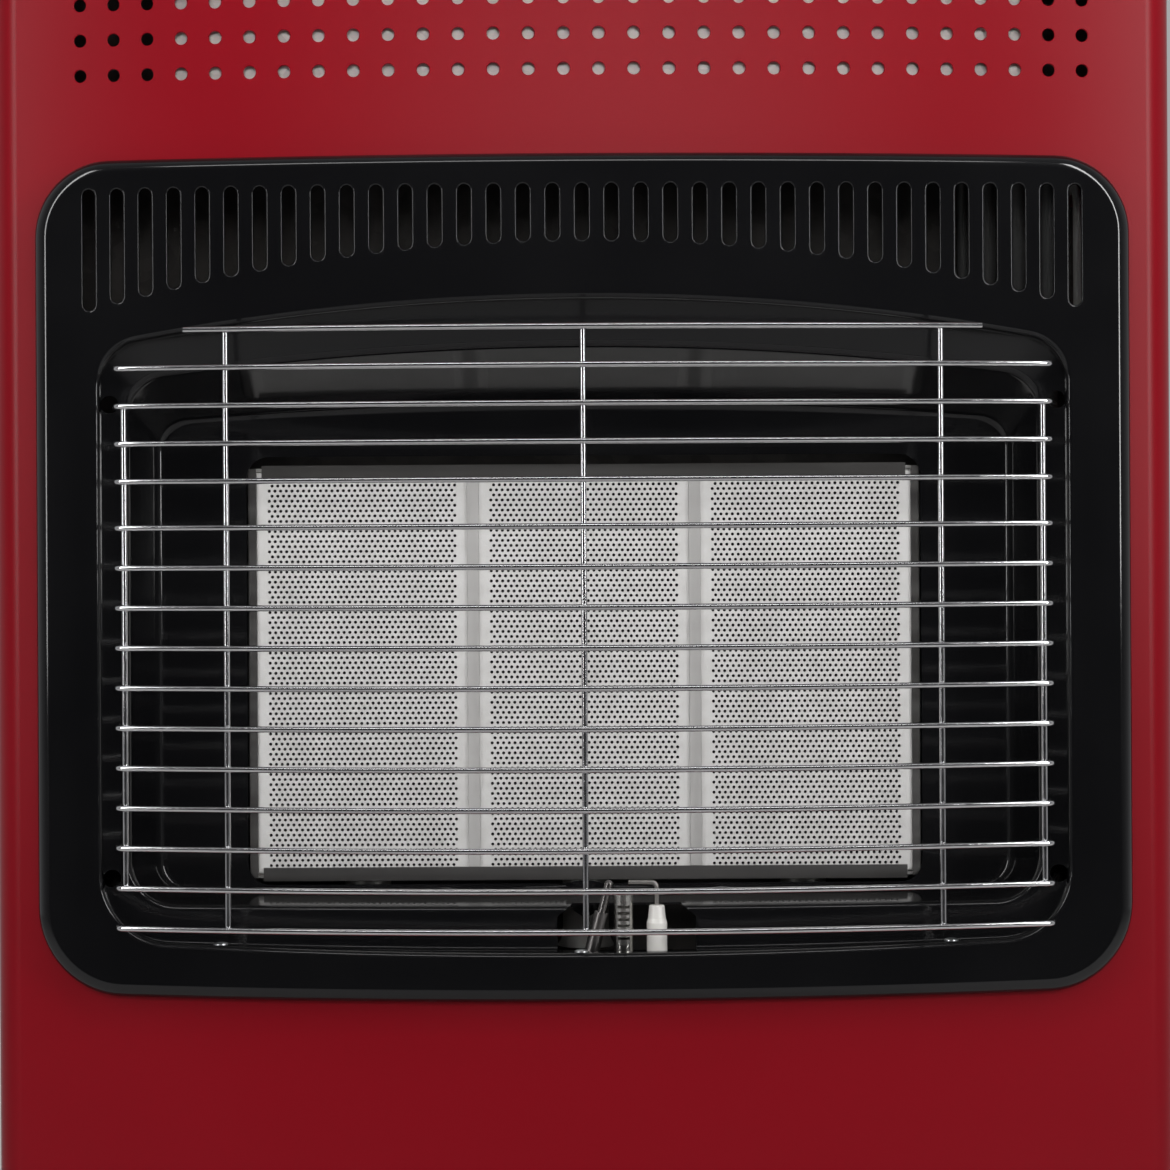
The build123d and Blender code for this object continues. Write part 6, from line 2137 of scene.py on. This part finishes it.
@dataclass
class Stage:
    """Plain pale floor, soft lamps and the camera."""

    distance: float = 1250.0
    focal_pixels: float = 3575.0
    picture: float = 1170.0
    eye_height: float = 505.0
    eye_row: float = 500.0
    middle_column: float = 583.5
    roll: float = 0.33
    floor_radius: float = 2.2
    floor_points: int = 96
    floor_colour: Point = (0.50, 0.496, 0.492)
    floor_roughness: float = 0.9
    dark_front: Flat = (-0.85, 0.15)
    front_tone: Point = (0.02, 0.02, 0.021)
    room_tone: Point = (0.40, 0.40, 0.41)

    def build_camera(self) -> None:
        """Places the camera square on, with a small downward shift."""
        data = bpy.data.cameras.new("camera")
        data.sensor_width = 36.0
        data.lens = self.focal_pixels / self.picture * data.sensor_width
        data.shift_y = -(self.picture / 2 - self.eye_row) / self.picture
        data.shift_x = (self.picture / 2 - self.middle_column) / self.picture
        camera = placed("camera", data)
        camera.location = (0.0, (PANEL_FRONT - self.distance) * MM, self.eye_height * MM)
        camera.rotation_euler = (radians(90), radians(self.roll), 0.0)
        bpy.context.scene.camera = camera

    def build_floor(self) -> None:
        """Lays a plain pale floor."""
        mesh = bpy.data.meshes.new("floor")
        rim = [(x, y, 0) for x, y in round_loop(0.0, 0.0, self.floor_radius, self.floor_points)]
        mesh.from_pydata(rim, [], [list(range(self.floor_points))])
        floor = placed("floor", mesh)
        paint = bpy.data.materials.new("floor_paint")
        paint.use_nodes = True
        shader = paint.node_tree.nodes["Principled BSDF"]
        shader.inputs["Base Color"].default_value = (*self.floor_colour, 1.0)
        shader.inputs["Roughness"].default_value = self.floor_roughness
        mesh.materials.append(paint)

    def build_light(self) -> None:
        """Hangs the lamps and sets the world."""
        for lamp in LAMPS:
            lamp.hang()
        world = bpy.data.worlds.new("studio")
        world.use_nodes = True
        graph = Graph(world.node_tree)
        way = graph.parts(graph.add("ShaderNodeTexCoord").outputs["Generated"])
        pale = graph.ramp(way[1], *self.dark_front)
        sky = graph.mix(pale, (*self.front_tone, 1.0), (*self.room_tone, 1.0))
        graph.feed(world.node_tree.nodes["Background"].inputs["Color"], sky)
        bpy.context.scene.world = world

    def build(self) -> None:
        """Builds camera, floor and light."""
        self.build_camera()
        self.build_floor()
        self.build_light()
        bpy.context.scene.view_settings.view_transform = "Standard"


def main() -> None:
    """Builds every sub-assembly in order."""
    logging.basicConfig(level=logging.INFO, format="%(message)s")
    Stage().build()
    FrontPanel().dress()
    Surround().dress()
    RecessLiner().dress()
    WireGuard().dress()
    Plaques().dress()
    Screws().dress()
    Controls().dress()
    CastorWheels().dress()
    CarriedNodes().dress()


if __name__ == "__main__":
    main()
